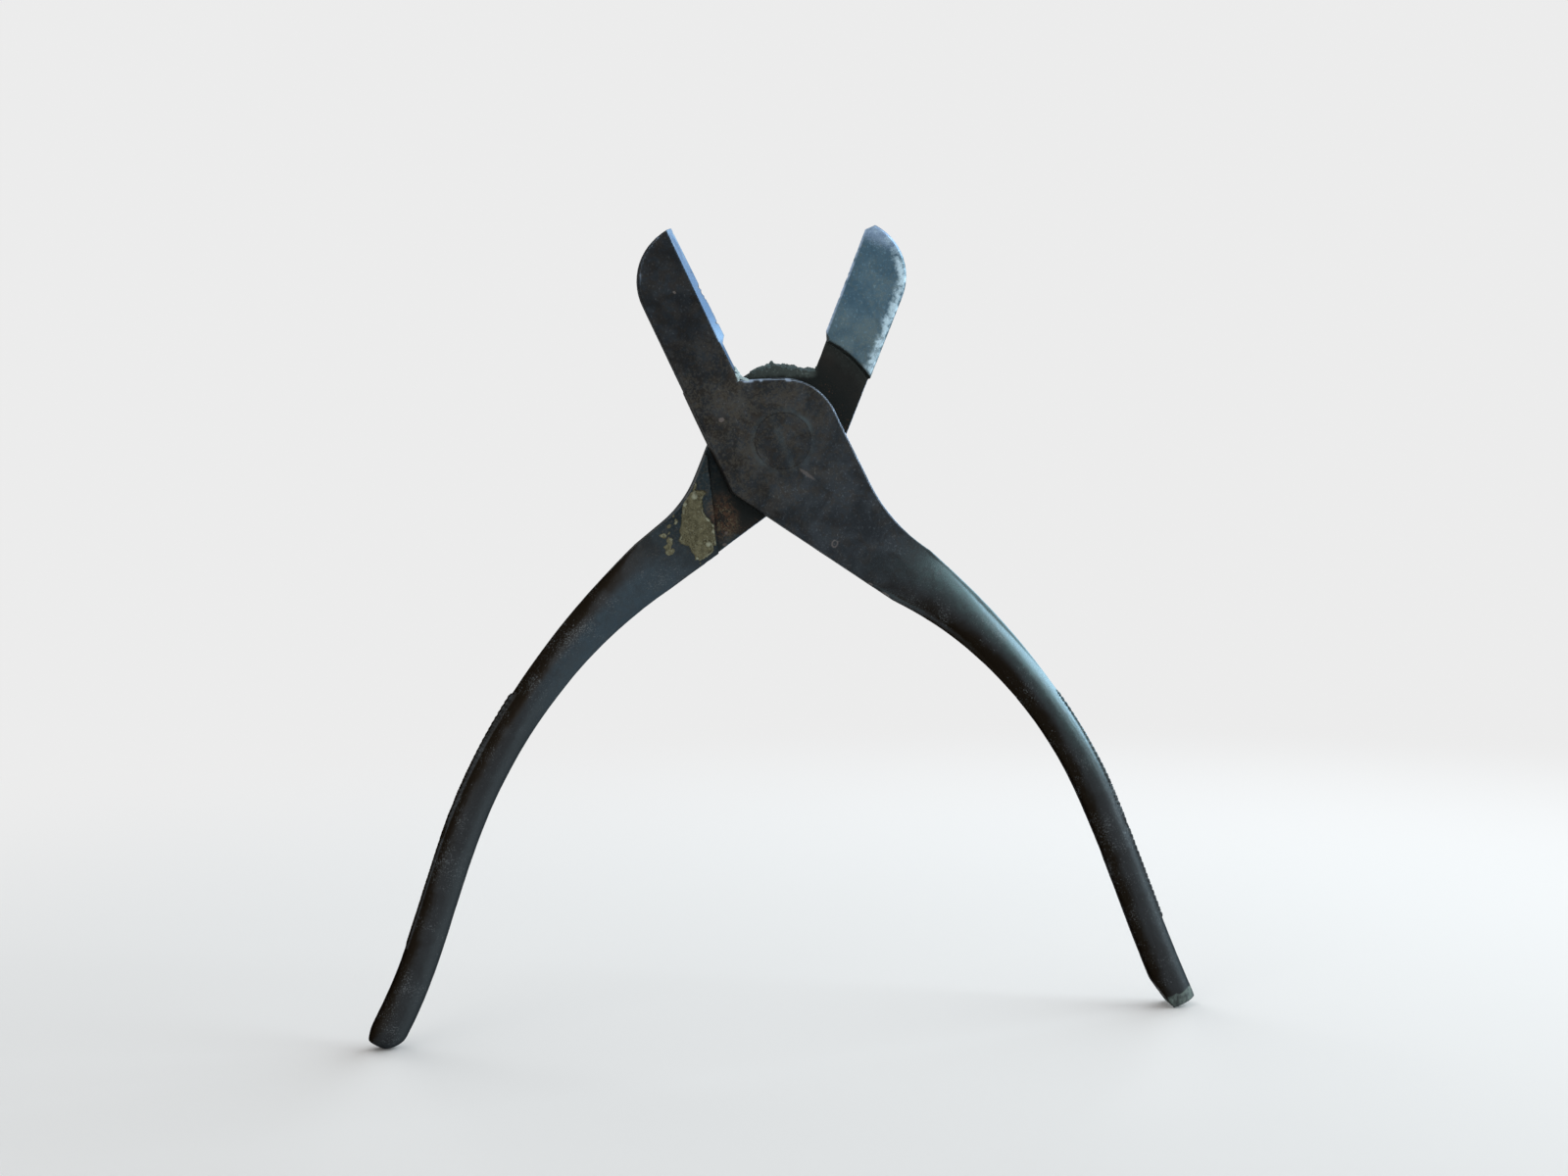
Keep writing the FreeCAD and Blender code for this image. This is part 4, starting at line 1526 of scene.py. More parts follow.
    def serrate(self, skin: Skin) -> None:
        """Cuts the crossed serration into the grip pad.

        Args:
            skin: The surface.
        """
        local = self.to_half(skin.points)
        pad = self.on_pad(local, 0.0)
        run, _ = self.along_bar(local)
        slant = self.bar.slant * (local[:, 1] + THICKNESS / 2)
        grooves = np.zeros(len(run))
        for turn in (-1.0, 1.0):
            phase = (run + turn * slant) / self.bar.pitch
            ridge = np.abs(phase - np.floor(phase) - 0.5) * 2.0
            grooves = np.maximum(grooves, smooth_step(ridge, 0.45, 1.0))
        worn = 0.75 + 0.35 * skin.swell(5.0, self.seed + 9)
        skin.press(self.bar.groove * grooves * pad * np.clip(worn, 0.3, 1.0))

    def chip(self, skin: Skin) -> np.ndarray:
        """Takes small chips out of the cutting edge.

        Args:
            skin: The surface.

        Returns:
            How much of a chip each point lies in, from 0 to 1.
        """
        local = self.to_half(skin.points)
        blade = self.blade
        draw = np.random.default_rng(self.seed + 77)
        chips = list(self.chips)
        for _ in range(self.nicks):
            chips.append((draw.uniform(blade.throat + 2.5, blade.reach - 1.0),
                          draw.uniform(0.12, 0.35), draw.uniform(0.02, 0.08)))
        taken = np.zeros(len(local))
        for place, half_width, deep in chips:
            taken = np.maximum(taken, deep * np.exp(-((local[:, 2] - place) / half_width) ** 2))
        above = local[:, 2] > blade.throat
        near = np.clip(1.0 + (local[:, 0] - blade.edge) / 0.9, 0.0, 1.0) * above
        depth = skin.points * (0.25, 1.0, 0.25)
        taken *= smooth_step(rough_wander(depth, 1.3, self.seed + 12), -0.35, 0.30)
        shift = np.zeros_like(local)
        shift[:, 0] = -taken * near
        skin.points += self.from_half(local + shift) - self.from_half(local)
        skin.store()
        ragged = taken * (1.4 + skin.swell(0.7, self.seed + 8))
        return smooth_step(ragged, 0.10, 0.30) * near


@dataclass
class FrontHalf(ForgedHalf):
    """Left blade, front cheek and right-hand handle.

    Attributes:
        opening: How far it is turned from its own frame, in degrees.
    """

    opening: float = 25.1
    cut_end: float = 1.0

    def to_half(self, points: np.ndarray) -> np.ndarray:
        """Takes points of the assembly into the half's own frame."""
        return turned(points, self.opening)

    def from_half(self, local: np.ndarray) -> np.ndarray:
        """Takes points of the half's own frame into the assembly."""
        return turned(local, -self.opening)


@dataclass
class RearHalf(ForgedHalf):
    """Right blade, rear cheek and left-hand handle.

    Attributes:
        opening: How far it is turned from its own frame, in degrees, once it is flipped.
        recess: Depths from its outer face between which the floor of the recess lies.
        rust: Place across and up of the rust beside the scab.
    """

    opening: float = 22.7
    lit_side: tuple[float, float, float] = (0.90, 0.0, -0.43)
    lit_edge_side: tuple[float, float, float] = (0.90, -0.25, -0.20)
    cool_from: tuple[float, float] = (-60.0, -25.0)
    palm_highlight_reach: tuple[float, float] = (-82.0, -50.0)
    palm_highlight_start: tuple[float, float] = (-24.0, -42.0)
    brim_highlight: float = 0.15
    crown_fall: float = 1.9
    crown_start: tuple[float, float] = (-20.0, -38.0)
    palm_highlight_from: tuple[float, float] = (-0.30, 0.05)
    bar_from: tuple[float, float] = (-21.0, -40.0)
    bright_edge: float = 0.85
    dull_back: float = 0.5
    recess: tuple[float, float] = (4.2, 7.8)
    rust: tuple[float, float] = (-12.7, -16.0)

    def to_half(self, points: np.ndarray) -> np.ndarray:
        """Takes points of the assembly into the half's own frame, or back.

        Args:
            points: The points, one row each.

        Returns:
            The same points in the other frame.
        """
        turn = math.radians(self.opening / 2)
        axis = np.array([math.sin(turn), math.cos(turn)])
        along = points[:, 0] * axis[0] + points[:, 2] * axis[1]
        local = points.copy()
        local[:, 0] = 2 * along * axis[0] - points[:, 0]
        local[:, 1] = -points[:, 1] - THICKNESS
        local[:, 2] = 2 * along * axis[1] - points[:, 2]
        return local

    def from_half(self, local: np.ndarray) -> np.ndarray:
        """Takes points of the half's own frame into the assembly."""
        return self.to_half(local)

    def zones(self, skin: Skin) -> dict[str, np.ndarray]:
        """Adds the dark recess, its caked step and the rust to the common zones.

        Args:
            skin: The refined surface.

        Returns:
            One mask for each finish.
        """
        marks = super().zones(skin)
        local = self.to_half(skin.points)
        up = local[:, 2]
        far = np.hypot(local[:, 0], up)
        depth = local[:, 1] + THICKNESS
        sunk = (depth > self.recess[0]) & (depth < self.recess[1])
        sunk &= (far < RECESS_RADIUS) & (up > -22.0)
        past = past_shoulder(local)
        beside = smooth_step(np.abs(past), 4.5, 0.5) * smooth_step(up, 6.0, 2.0)
        # The recess floor is near-black, less so beside the shoulder.
        marks["dark_recess"] = skin.averaged(sunk.astype(float), 1) * (1.0 - 0.70 * beside)
        marks["brown"] = smooth_step(far, 15.5, 22.0)
        marks["shoulder"] = ((np.abs(past) < 0.7) & (up < 4.0)).astype(float)
        away = np.hypot(skin.points[:, 0] - self.rust[0], 0.7 * (skin.points[:, 2] - self.rust[1]))
        marks["rusty"] = smooth_step(away, 4.6, 1.0) * (marks["face"] > 0.5)
        high = skin.points[:, 2] + 0.5 * skin.swell(1.4, 33)
        kept = smooth_step(skin.points[:, 0], 9.2, 7.4) * smooth_step(high, 18.6, 17.4)
        in_throat = smooth_step(high, 13.2, 14.4) * kept * sunk
        outward = np.einsum("ij,ij->i", skin.normals()[:, ::2], skin.points[:, ::2]) / far
        # Pale cake on the step wall facing the pivot, which also paints light over the wall's
        # shade.
        step = (np.abs(far - RECESS_RADIUS) < 1.0) & (outward < -0.35) & (up > 6.0)
        lightened_step = 0.5 * skin.averaged(step.astype(float), 1)
        by_step = smooth_step(far + 0.8 * skin.swell(1.5, 41), 20.2, 23.6)
        by_step *= 0.24 * sunk * (up > 6.0)
        marks["caked"] = np.maximum(np.maximum(in_throat, lightened_step), by_step)
        return marks


@dataclass
class PivotRivet:
    """The pivot rivet, peened and dressed flush.

    Attributes:
        finish: Its finish.
        node: Name of its solid.
        fineness: Fineness of its mesh.
        radius: Radius of its head.
    """

    finish: ForgedSteel
    node: str = "pivot_rivet"
    fineness: int = 7
    radius: float = 6.0

    def build(self) -> bpy.types.Object:
        """Makes the rivet.

        Returns:
            The finished piece.
        """
        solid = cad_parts[self.node]
        piece = refined_copy(solid, f"{self.node}_dressed", self.fineness)
        skin = Skin(piece.data)
        skin.store()
        far = skin.from_pivot()
        off_face = np.abs(skin.points[:, 1] + THICKNESS / 2) - THICKNESS / 2
        rim = smooth_step(far, self.radius - 0.7, self.radius)
        hammered = np.clip(0.5 + 0.5 * skin.swell(2.4, 41), 0.0, 1.0)
        skin.press((np.abs(off_face) < 0.3) * (0.02 * hammered + 0.03 * rim ** 2))
        skin.points = np.clip(skin.points, *solid_box(solid))
        skin.store()
        smear = np.abs(0.93 * skin.points[:, 0] + 0.37 * skin.points[:, 2] + 0.3)
        back = smooth_step(skin.points[:, 1], -6.0, -3.0)
        for name in ("bevel", "stone", "rim", "tip", "low", "bar", "dark_recess", "brown", "faces_light",
                     "cut", "standing", "hollow", "nick", "palm_highlight", "brim_highlight", "ends", "caked",
                     "rusty"):
            skin.mark(name, np.zeros(len(skin.points)))
        skin.mark("jaw", back)
        skin.mark("seat", np.maximum(skin.seat(far), 0.7 * smooth_step(smear, 1.3, 0.1)))
        skin.mark("cool", 0.6 * smooth_step(skin.downhill(), *COOL_FROM) + 0.9 * back)
        skin.mark("dusted", smooth_step(skin.downhill(), *DUSTY_FROM))
        skin.mark("face", skin.facing())
        dress(piece, self.finish.build())
        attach(piece, "rear")
        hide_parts("pivot_rivet")
        return piece


# ---------------------------------------------------------------- dirt


def ray_net(piece: bpy.types.Object) -> BVHTree:
    """A search tree over the cells of a piece, in millimetres.

    Args:
        piece: The piece.

    Returns:
        The tree.
    """
    points = [tuple(vertex.co / MM) for vertex in piece.data.vertices]
    return BVHTree.FromPolygons(points, [tuple(cell.vertices) for cell in piece.data.polygons])


def polygon_depth(places: np.ndarray, outline: np.ndarray) -> np.ndarray:
    """How deep each place lies inside a closed outline.

    Args:
        places: Places in the plane, one row each.
        outline: Corners of the outline, one row each.

    Returns:
        The distance to the outline, negative outside it.
    """
    nearest = np.full(len(places), np.inf)
    inside = np.zeros(len(places), dtype=bool)
    for start, end in zip(outline, np.roll(outline, -1, axis=0)):
        run = end - start
        offset = places - start
        share = np.clip(offset @ run / (run @ run), 0.0, 1.0)
        nearest = np.minimum(nearest, np.hypot(*(offset - share[:, None] * run).T))
        if start[1] != end[1]:
            crossing = (start[1] > places[:, 1]) != (end[1] > places[:, 1])
            at = start[0] + (places[:, 1] - start[1]) * run[0] / run[1]
            inside ^= crossing & (places[:, 0] < at)
    return np.where(inside, nearest, -nearest)


# The dried paint, as places across and up: outlines, lumps with their reach, and flakes with
# half their width and height.
SCAB_OUTLINE = (
    (-20.4, -11.5), (-19.5, -10.5), (-18.1, -9.9), (-16.7, -10.1), (-16.0, -10.6), (-16.4, -11.5),
    (-17.1, -12.0), (-17.2, -12.9), (-16.8, -14.1), (-16.2, -15.7), (-15.6, -16.4),
    (-15.1, -17.1), (-14.3, -17.3), (-13.6, -18.0), (-14.1, -19.3), (-13.3, -20.5),
    (-13.3, -21.6), (-14.2, -22.2), (-15.1, -22.0), (-15.1, -23.4), (-15.7, -24.0),
    (-16.9, -24.8), (-17.8, -25.3), (-19.1, -25.2), (-19.4, -24.0), (-19.7, -22.9),
    (-20.6, -22.2), (-21.8, -21.5), (-22.4, -20.9), (-22.2, -19.4), (-22.0, -17.6),
    (-21.6, -15.5), (-21.5, -14.5), (-21.3, -13.1), (-21.1, -11.9))
SCAB_TAIL = ((-19.1, -10.2), (-18.9, -9.1), (-18.6, -8.3), (-18.2, -8.5), (-18.4, -9.2),
             (-18.5, -10.2))
SCAB_RIDGES = ((-18.8, -11.4, 0.9), (-21.0, -13.0, 0.7), (-16.0, -16.4, 0.6),
               (-14.7, -17.7, 0.7), (-14.9, -19.0, 0.6), (-16.1, -21.7, 0.8),
               (-14.3, -21.3, 0.7), (-18.6, -24.8, 0.5))
FLAKES = ((-25.7, -19.6, 0.75, 0.55), (-24.4, -17.7, 0.55, 0.5), (-22.9, -16.7, 0.4, 0.8),
          (-24.4, -20.9, 0.55, 1.3), (-24.3, -23.2, 1.05, 0.85), (-25.1, -22.1, 0.5, 0.7),
          (-24.5, -19.1, 0.4, 0.6), (-17.8, -25.9, 0.4, 0.35), (-25.0, -16.6, 0.3, 0.35),
          (-23.4, -15.3, 0.3, 0.45))


@dataclass(frozen=True)
class DirtFinish:
    """Dried or caked dirt: a body colour, darker and paler parts, painted light and shade."""

    name: str
    body: Finish
    shade: Finish
    light: Finish

    def build(self) -> bpy.types.Material:
        """Builds the material.

        Returns:
            The material.
        """
        stack = FinishStack(self.name, self.body, 0.9, 0.35)
        graph, patina = stack.graph, stack.patina
        stack.lay(self.shade, patina["Patches"], 0.60)
        stack.lay(self.light, patina["Specks"], 0.45)
        # Painted highlight on the ridges; darker on thin edges, with painted shade in hollows.
        stack.lay(self.light, graph.mark("ridge"))
        stack.lay(self.shade, graph.mark("thin"))
        stack.shade(patina["Grain"], 0.75, 1.25)
        return stack.finish(patina["Grain"], 0.05)


@dataclass(frozen=True)
class DriedScab:
    """A scab of old paint dried on to the front of a forged half.

    Attributes:
        name: Name of the piece.
        body: Body that it rides on.
        finish: Its finish.
        outlines: Outlines of its patches, as places across and up.
        ridges: Places and reaches of its thicker lumps, painted paler as a highlight.
        spots: Places and reaches of small loose flakes.
        thickness: Its usual thickness.
        spacing: Distance between neighbouring points of its mesh.
        seed: Picks its random swells.
    """

    name: str
    body: str
    finish: DirtFinish
    outlines: Sequence[Sequence[tuple[float, float]]]
    ridges: Sequence[tuple[float, float, float]] = ()
    spots: Sequence[tuple[float, float, float, float]] = ()
    thickness: float = 0.34
    spacing: float = 0.13
    seed: int = 5

    def depth(self, places: np.ndarray, half: ForgedHalf) -> np.ndarray:
        """How deep each place lies inside the scab, ragged along its border.

        Args:
            places: Places across and up, one row each.
            half: The half that it lies on.

        Returns:
            The depth for each place, negative outside.
        """
        flat = np.column_stack((places[:, 0], places[:, 1] * 0.0, places[:, 1]))
        inside = np.full(len(places), -np.inf)
        for outline in self.outlines:
            inside = np.maximum(inside, polygon_depth(places, np.array(outline)))
        for across, up, wide, tall in self.spots:
            reach = np.hypot((places[:, 0] - across) / wide, (places[:, 1] - up) / tall)
            inside = np.maximum(inside, (1.0 - reach) * min(wide, tall))
        inside = inside + 0.30 * rough_wander(flat, 1.1, self.seed)
        inside = inside + 0.16 * rough_wander(flat, 0.45, self.seed + 6)
        return np.minimum(inside, past_shoulder(half.to_half(flat)) - 0.35)

    def relief(self, grid: np.ndarray, inside: np.ndarray) -> Sequence[np.ndarray]:
        """Works out how the crust stands: swells, crumbs, folds and a torn lip.

        Args:
            grid: Places across and up, one row each.
            inside: How deep each lies inside the scab.

        Returns:
            For each place: lift off the steel, thinness, and painted highlight on lumps and lip.
        """
        flat = np.column_stack((grid[:, 0], grid[:, 1] * 0.0, grid[:, 1]))
        lump = np.zeros(len(grid))
        for place_x, place_z, reach in self.ridges:
            away = np.hypot(grid[:, 0] - place_x, grid[:, 1] - place_z)
            lump = np.maximum(lump, smooth_step(away, reach, 0.3 * reach))
        uneven = 0.75 + 0.25 * rough_wander(flat, 1.7, self.seed + 1)
        crumbly = 0.5 + 0.5 * rough_wander(flat, 0.55, self.seed + 2)
        border = smooth_step(inside, 0.0, 0.30)
        lip = smooth_step(inside, 0.0, 0.25) * smooth_step(inside, 0.75, 0.30)
        folds = smooth_step(np.abs(rough_wander(flat, 1.5, self.seed + 4)), 0.16, 0.0)
        torn = smooth_step(rough_wander(flat, 1.2, self.seed + 7), -0.05, 0.30)
        height = self.thickness * (uneven + 0.55 * crumbly + 0.7 * lip * torn + 0.6 * folds)
        height += 0.40 * lump
        lift = border * height - 0.05 * (1.0 - border)
        # Paler on lumps and on the torn lip, as a painted highlight on what stands up.
        pale = np.clip(0.9 * lump + 0.5 * lip * torn, 0.0, 0.95)
        return lift, 1.0 - border, pale

    def build(self, half: ForgedHalf) -> bpy.types.Object:
        """Lays the scab on the face of a finished half.

        Args:
            half: The half, already built.

        Returns:
            The finished piece.
        """
        corners = np.array([corner for outline in self.outlines for corner in outline]
                           + [spot[:2] for spot in self.spots])
        low, high = corners.min(axis=0) - 1.2, corners.max(axis=0) + 1.2
        across = np.arange(low[0], high[0], self.spacing)
        up = np.arange(low[1], high[1], self.spacing)
        grid = np.array([(x, z) for z in up for x in across])
        inside = self.depth(grid, half)
        lift, thin, pale = self.relief(grid, inside)
        net = ray_net(half.piece)
        index = np.full(len(grid), -1)
        points, laid = [], []
        for number in np.flatnonzero(inside > -0.2):
            place_x, place_z = grid[number]
            hit = net.ray_cast(Vector((place_x, -20.0, place_z)), Vector((0.0, 1.0, 0.0)))
            if hit[0] is None:
                continue
            index[number] = len(points)
            points.append((place_x, hit[0].y - lift[number], place_z))
            laid.append(number)
        wide = len(across)
        cells = []
        for first in range(len(grid) - wide - 1):
            ring = index[[first, first + 1, first + wide + 1, first + wide]]
            if (first + 1) % wide and (ring >= 0).all():
                cells.append(tuple(ring))
        mesh = bpy.data.meshes.new(self.name)
        mesh.from_pydata([Vector(point) * MM for point in points], [], cells)
        piece = added(self.name, mesh)
        skin = Skin(mesh)
        # Hollows of the crust get painted shade, through its thin mark.
        hollow = smooth_step(-skin.relief(5), 0.008, 0.045)
        skin.mark("thin", np.clip(thin[laid] + 0.8 * hollow, 0.0, 1.0))
        skin.mark("ridge", pale[laid])
        dress(piece, self.finish.build())
        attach(piece, self.body)
        return piece


@dataclass(frozen=True)
class CakedDirt:
    """Clods of dirt caked on a rim, grown together from grains.

    Attributes:
        name: Name of the piece.
        body: Body that it rides on.
        finish: Its finish.
        across: Where the grains lie, from and to.
        depth: The same along the pivot axis.
        grains: How many grains.
        size: Smallest and largest radius of a grain.
        drop_from: Height from which each grain falls on to the metal.
        heaps: Places across where the dirt heaps up, with the height of each heap.
        seed: Picks its random grains.
        heap_width: How wide each heap is.
        voxel: Size of the cells in which the grains grow together.
    """

    name: str
    body: str
    finish: DirtFinish
    across: tuple[float, float]
    depth: tuple[float, float]
    grains: int
    size: tuple[float, float]
    drop_from: float
    heaps: Sequence[tuple[float, float]] = ()
    seed: int = 3
    heap_width: float = 0.8
    voxel: float = 0.10

    def build(self, half: ForgedHalf) -> bpy.types.Object:
        """Drops the grains on a finished half and grows them together.

        Args:
            half: The half, already built.

        Returns:
            The finished piece.
        """
        draw = np.random.default_rng(self.seed)
        net = ray_net(half.piece)
        work = bmesh.new()
        for _ in range(self.grains):
            place_x, place_y = draw.uniform(*self.across), draw.uniform(*self.depth)
            radius = draw.uniform(*self.size)
            tilt = draw.uniform(0.0, math.pi)
            hit = net.ray_cast(Vector((place_x, place_y, self.drop_from)), Vector((0, 0, -1)))
            if hit[0] is None:
                continue
            heap = sum(high * math.exp(-((place_x - at) / self.heap_width) ** 2)
                       for at, high in self.heaps)
            centre = hit[0] + Vector((0.0, 0.0, heap * draw.uniform(0.0, 1.0) - 0.3 * radius))
            made = bmesh.ops.create_icosphere(work, subdivisions=2, radius=radius)
            for vertex in made["verts"]:
                vertex.co.z *= 0.7
                vertex.co.rotate(Euler((tilt, 0.0, tilt * 1.7)))
                vertex.co = (vertex.co + centre) * MM
        mesh = bpy.data.meshes.new(self.name)
        work.to_mesh(mesh)
        work.free()
        piece = added(self.name, mesh)
        remesh = piece.modifiers.new("grow", "REMESH")
        remesh.mode = "VOXEL"
        remesh.voxel_size = self.voxel * MM
        skin = Skin(settle(piece))
        skin.press(0.05 + 0.10 * skin.swell(0.45, self.seed))
        near, far = self.depth
        skin.points[:, 1] = np.clip(skin.points[:, 1], near - 0.15, far + 0.15)
        skin.store()
        skin.mark("thin", np.zeros(len(skin.points)))
        # Raised parts of the clods get a painted highlight.
        skin.mark("ridge", smooth_step(skin.relief(6), 0.01, 0.08) * 0.6)
        dress(piece, self.finish.build())
        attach(piece, self.body)
        return piece


# ---------------------------------------------------------------- stage, light and camera


@dataclass(frozen=True)
class Lamp:
    """A soft lamp that looks at the joint.

    Attributes:
        name: Name of the lamp.
        place: Where it hangs, in metres.
        size: Its width and height in metres.
        power: Its power in watts.
        colour: Its colour.
    """

    name: str
    place: tuple[float, float, float]
    size: tuple[float, float]
    power: float
    colour: Colour

    def hang(self) -> None:
        """Hangs the lamp."""
        data = bpy.data.lights.new(self.name, "AREA")
        data.shape = "RECTANGLE"
        data.size, data.size_y = self.size
        data.energy = self.power
        data.color = self.colour
        lamp = added(self.name, data)
        lamp.visible_camera = False
        lamp.location = self.place
        lamp.rotation_euler = (-Vector(self.place)).to_track_quat("-Z", "Y").to_euler()


LAMPS = (Lamp("window", (1.09, -0.10, 0.50), (1.0, 0.9), 9.0, (0.85, 0.95, 1.0)),
         Lamp("side", (0.86, 0.92, 0.40), (1.1, 0.9), 11.5, (0.84, 0.93, 1.0)),
         Lamp("fill", (-0.7, -0.9, 0.45), (0.8, 0.8), 1.6, (1.0, 0.97, 0.93)),
         Lamp("back", (-0.4, 0.9, 0.7), (0.8, 0.5), 2.5, (1.0, 1.0, 1.0)))


@dataclass(frozen=True)
class Stage:
    """The pale floor, the lamps and the world.

    Attributes:
        floor_height: Height of the floor in metres, under the ends of the handles.
        floor_size: Its width in metres.
        background: Brightness of the background, where 1 is white.
        ambient: Strength of the world's light.
    """

    floor_height: float = -0.12791
    floor_size: float = 8.0
    background: float = 0.84
    ambient: float = 0.45

    def build(self) -> None:
        """Builds the floor, the lamps and the world."""
        self.lay_floor()
        self.set_world()
        for lamp in LAMPS:
            lamp.hang()

    def lay_floor(self) -> None:
        """Lays the floor, which fades into the background far away."""
        bpy.ops.mesh.primitive_grid_add(size=self.floor_size, x_subdivisions=8, y_subdivisions=8,
                                        location=(0, 0, self.floor_height))
        floor = bpy.context.object
        floor.name = "floor"
        material, graph, shader = new_material("pale floor")
        shader.inputs["Base Color"].default_value = (0.83, 0.82, 0.81, 1.0)
        shader.inputs["Roughness"].default_value = 0.9
        shader.inputs["Specular IOR Level"].default_value = 0.1
        place = graph.node("TexCoord").outputs["Object"]
        length = graph.node("VectorMath", operation="LENGTH")
        graph.feed(length.inputs[0], place)
        far = graph.step(length.outputs["Value"], 0.16, 0.5)
        seen = graph.node("LightPath").outputs["Is Camera Ray"]
        glow = graph.node("Emission")
        glow.inputs["Color"].default_value = (self.background,) * 3 + (1.0,)
        mix = graph.node("MixShader")
        graph.feed(mix.inputs[0], graph.math("MULTIPLY", far, seen))
        graph.feed(mix.inputs[1], shader.outputs[0])
        graph.feed(mix.inputs[2], glow.outputs[0])
        output = graph.tree.nodes["Material Output"]
        graph.feed(output.inputs["Surface"], mix.outputs[0])
        floor.data.materials.append(material)

    def set_world(self) -> None:
        """A plain world: a pale background, and a softer light on what is diffuse."""
        world = bpy.data.worlds.new("studio")
        world.use_nodes = True
        bpy.context.scene.world = world
        graph = Graph(world.node_tree)
        background = world.node_tree.nodes["Background"]
        background.inputs["Color"].default_value = (1.0, 1.0, 1.0, 1.0)
        path = graph.node("LightPath")
        seen = graph.math("MAXIMUM", path.outputs["Is Camera Ray"], path.outputs["Is Glossy Ray"])
        seen = graph.math("MAXIMUM", seen, path.outputs["Is Transmission Ray"])
        strength = graph.blend("FLOAT", seen, self.ambient, self.background)
        graph.feed(background.inputs["Strength"], strength)


@dataclass(frozen=True)
class ViewCamera:
    """The camera: its place in millimetres, its turn in degrees and its lens."""

    place: tuple[float, float, float] = (-59.417, -510.420, 4.457)
    turn: tuple[float, float, float] = (85.913, 1.452, -6.849)
    lens: float = 54.0
    sensor: float = 36.0

    def build(self) -> None:
        """Adds the camera and makes it the scene's."""
        data = bpy.data.cameras.new("camera")
        data.lens = self.lens
        data.sensor_width = self.sensor
        data.clip_start = 0.01
        data.clip_end = 50.0
        camera = added("camera", data)
        camera.location = Vector(self.place) * MM
        camera.rotation_euler = Euler([math.radians(angle) for angle in self.turn], "XYZ")
        bpy.context.scene.camera = camera


def dirt_on(front: ForgedHalf, rear: ForgedHalf) -> Sequence[tuple[object, ForgedHalf]]:
    """Lists the dirt, each with the half that it lies on.

    Args:
        front: The front half.
        rear: The rear half.

    Returns:
        Pairs of dirt and half.
    """
    paint = DirtFinish("dried paint", OLD_PAINT, PAINT_SHADE, PAINT_LIGHT)
    caked = DirtFinish("caked dirt", CLOD, CLOD_SHADE, CLOD_LIGHT)
    crumb = DirtFinish("pale crumbs", CRUMB, CLOD_LIGHT, CRUMB)
    scab = DriedScab("paint_scab", "rear", paint, outlines=(SCAB_OUTLINE, SCAB_TAIL),
                     ridges=SCAB_RIDGES)
    flakes = DriedScab("paint_flakes", "rear", paint, outlines=(), spots=FLAKES, thickness=0.16)
    rim = CakedDirt("rim_dirt", "rear", caked, across=(-5.2, 8.8), depth=(-4.2, -0.6),
                    grains=300, size=(0.28, 0.70), drop_from=30.0,
                    heaps=((-1.0, 0.7), (2.2, 0.6), (4.0, 0.5), (7.4, 0.6)), seed=3)
    crumbs = CakedDirt("throat_crumbs", "front", crumb, across=(-9.9, -7.0),
                       depth=(-12.75, -10.0), grains=80, size=(0.20, 0.48), drop_from=24.0,
                       heaps=((-8.7, 1.1),), seed=4)
    return (scab, rear), (flakes, rear), (rim, rear), (crumbs, front)


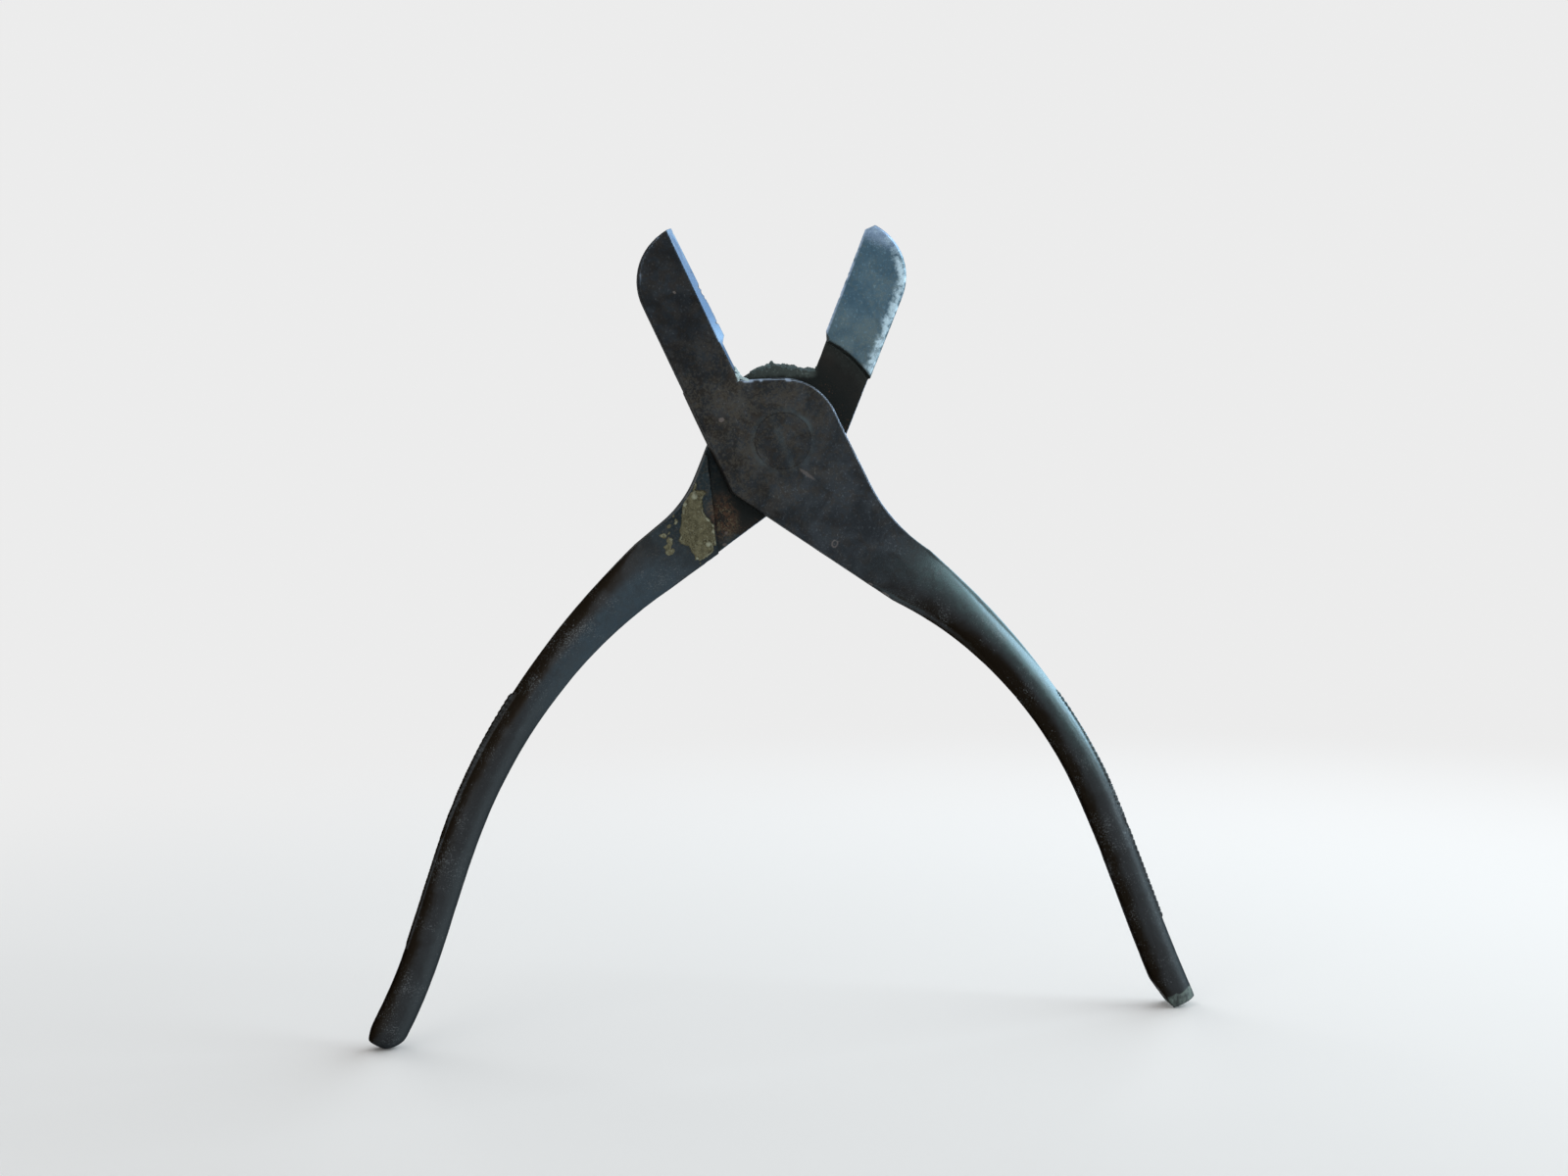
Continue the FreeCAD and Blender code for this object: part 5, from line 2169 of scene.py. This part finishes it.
def front_half() -> FrontHalf:
    """Sets out the front half.

    Returns:
        The half, not yet built.
    """
    flecks = (Fleck(-13.0, 4.8, 0.70, 0.55, 20.0), Fleck(10.6, -22.2, 1.0, 0.75, 70.0, ring=1.0),
              Fleck(5.0, -7.2, 2.0, 0.45, -36.0, share=0.28),
              Fleck(-22.2, 31.8, 0.42, 0.3, -40.0), Fleck(21.6, -33.6, 1.2, 0.35, -30.0),
              Fleck(18.2, -31.2, 0.8, 0.3, -20.0))
    steel = ForgedSteel("front_forging", (UMBER, SLATE), jaw_shade=0.70,
                        edge_turn=FrontHalf.opening, flecks=flecks, ash=0.60)
    bar = Bar(apex=28.2, drop=97.4, bow=117.0, lean=5.1, grip=44.07, pad_run=24.0,
              pad_angle=10.0, kick=0.5)
    chips = ((36.9, 0.5, 0.28), (35.6, 0.6, 0.36), (34.4, 0.35, 0.22), (28.6, 0.3, 0.25),
             (40.5, 0.3, 0.15))
    return FrontHalf("front_half", "front", "front_steel", Blade(root=15.6, full=4.9), bar,
                     steel, seed=7, chips=chips)


def rear_half() -> RearHalf:
    """Sets out the rear half.

    Returns:
        The half, not yet built.
    """
    flecks = (Fleck(-13.4, -18.6, 0.7, 0.4, 70.0, finish=OCHRE, share=0.5),
              Fleck(-11.8, -19.6, 0.4, 0.35), Fleck(-12.2, -22.1, 0.5, 0.4))
    steel = ForgedSteel("rear_forging", (DUSTY_BROWN, DUSTY_GREY), jaw_shade=0.9,
                        edge_turn=-RearHalf.opening, flecks=flecks, ash=0.5, palm_highlight=ROOT_HIGHLIGHT_BLUE)
    bar = Bar(apex=33.5, drop=102.0, bow=134.0, lean=3.2, grip=38.6, pad_run=20.0,
              pad_angle=12.6, kick=1.7)
    chips = ((44.0, 0.4, 0.2), (38.0, 0.35, 0.22), (33.5, 0.4, 0.2))
    return RearHalf("rear_half", "rear", "rear_steel", Blade(root=17.0, full=7.9), bar, steel,
                    seed=19, chips=chips)


def main() -> None:
    """Builds the stage and every piece."""
    logging.basicConfig(level=logging.INFO, format="%(name)s: %(message)s")
    bpy.context.scene.view_settings.view_transform = "Standard"
    Stage().build()
    ViewCamera().build()
    front, rear = front_half(), rear_half()
    rivet_steel = ForgedSteel("rivet_head", (UMBER, SLATE), jaw_shade=0.70, edge_turn=0.0,
                              ash=0.60)
    for maker in (front, rear, PivotRivet(rivet_steel)):
        piece = maker.build()
        LOG.info("%s: %d faces", piece.name, len(piece.data.polygons))
    for dirt, half in dirt_on(front, rear):
        piece = dirt.build(half)
        LOG.info("%s: %d faces", piece.name, len(piece.data.polygons))


if __name__ == "__main__":
    main()
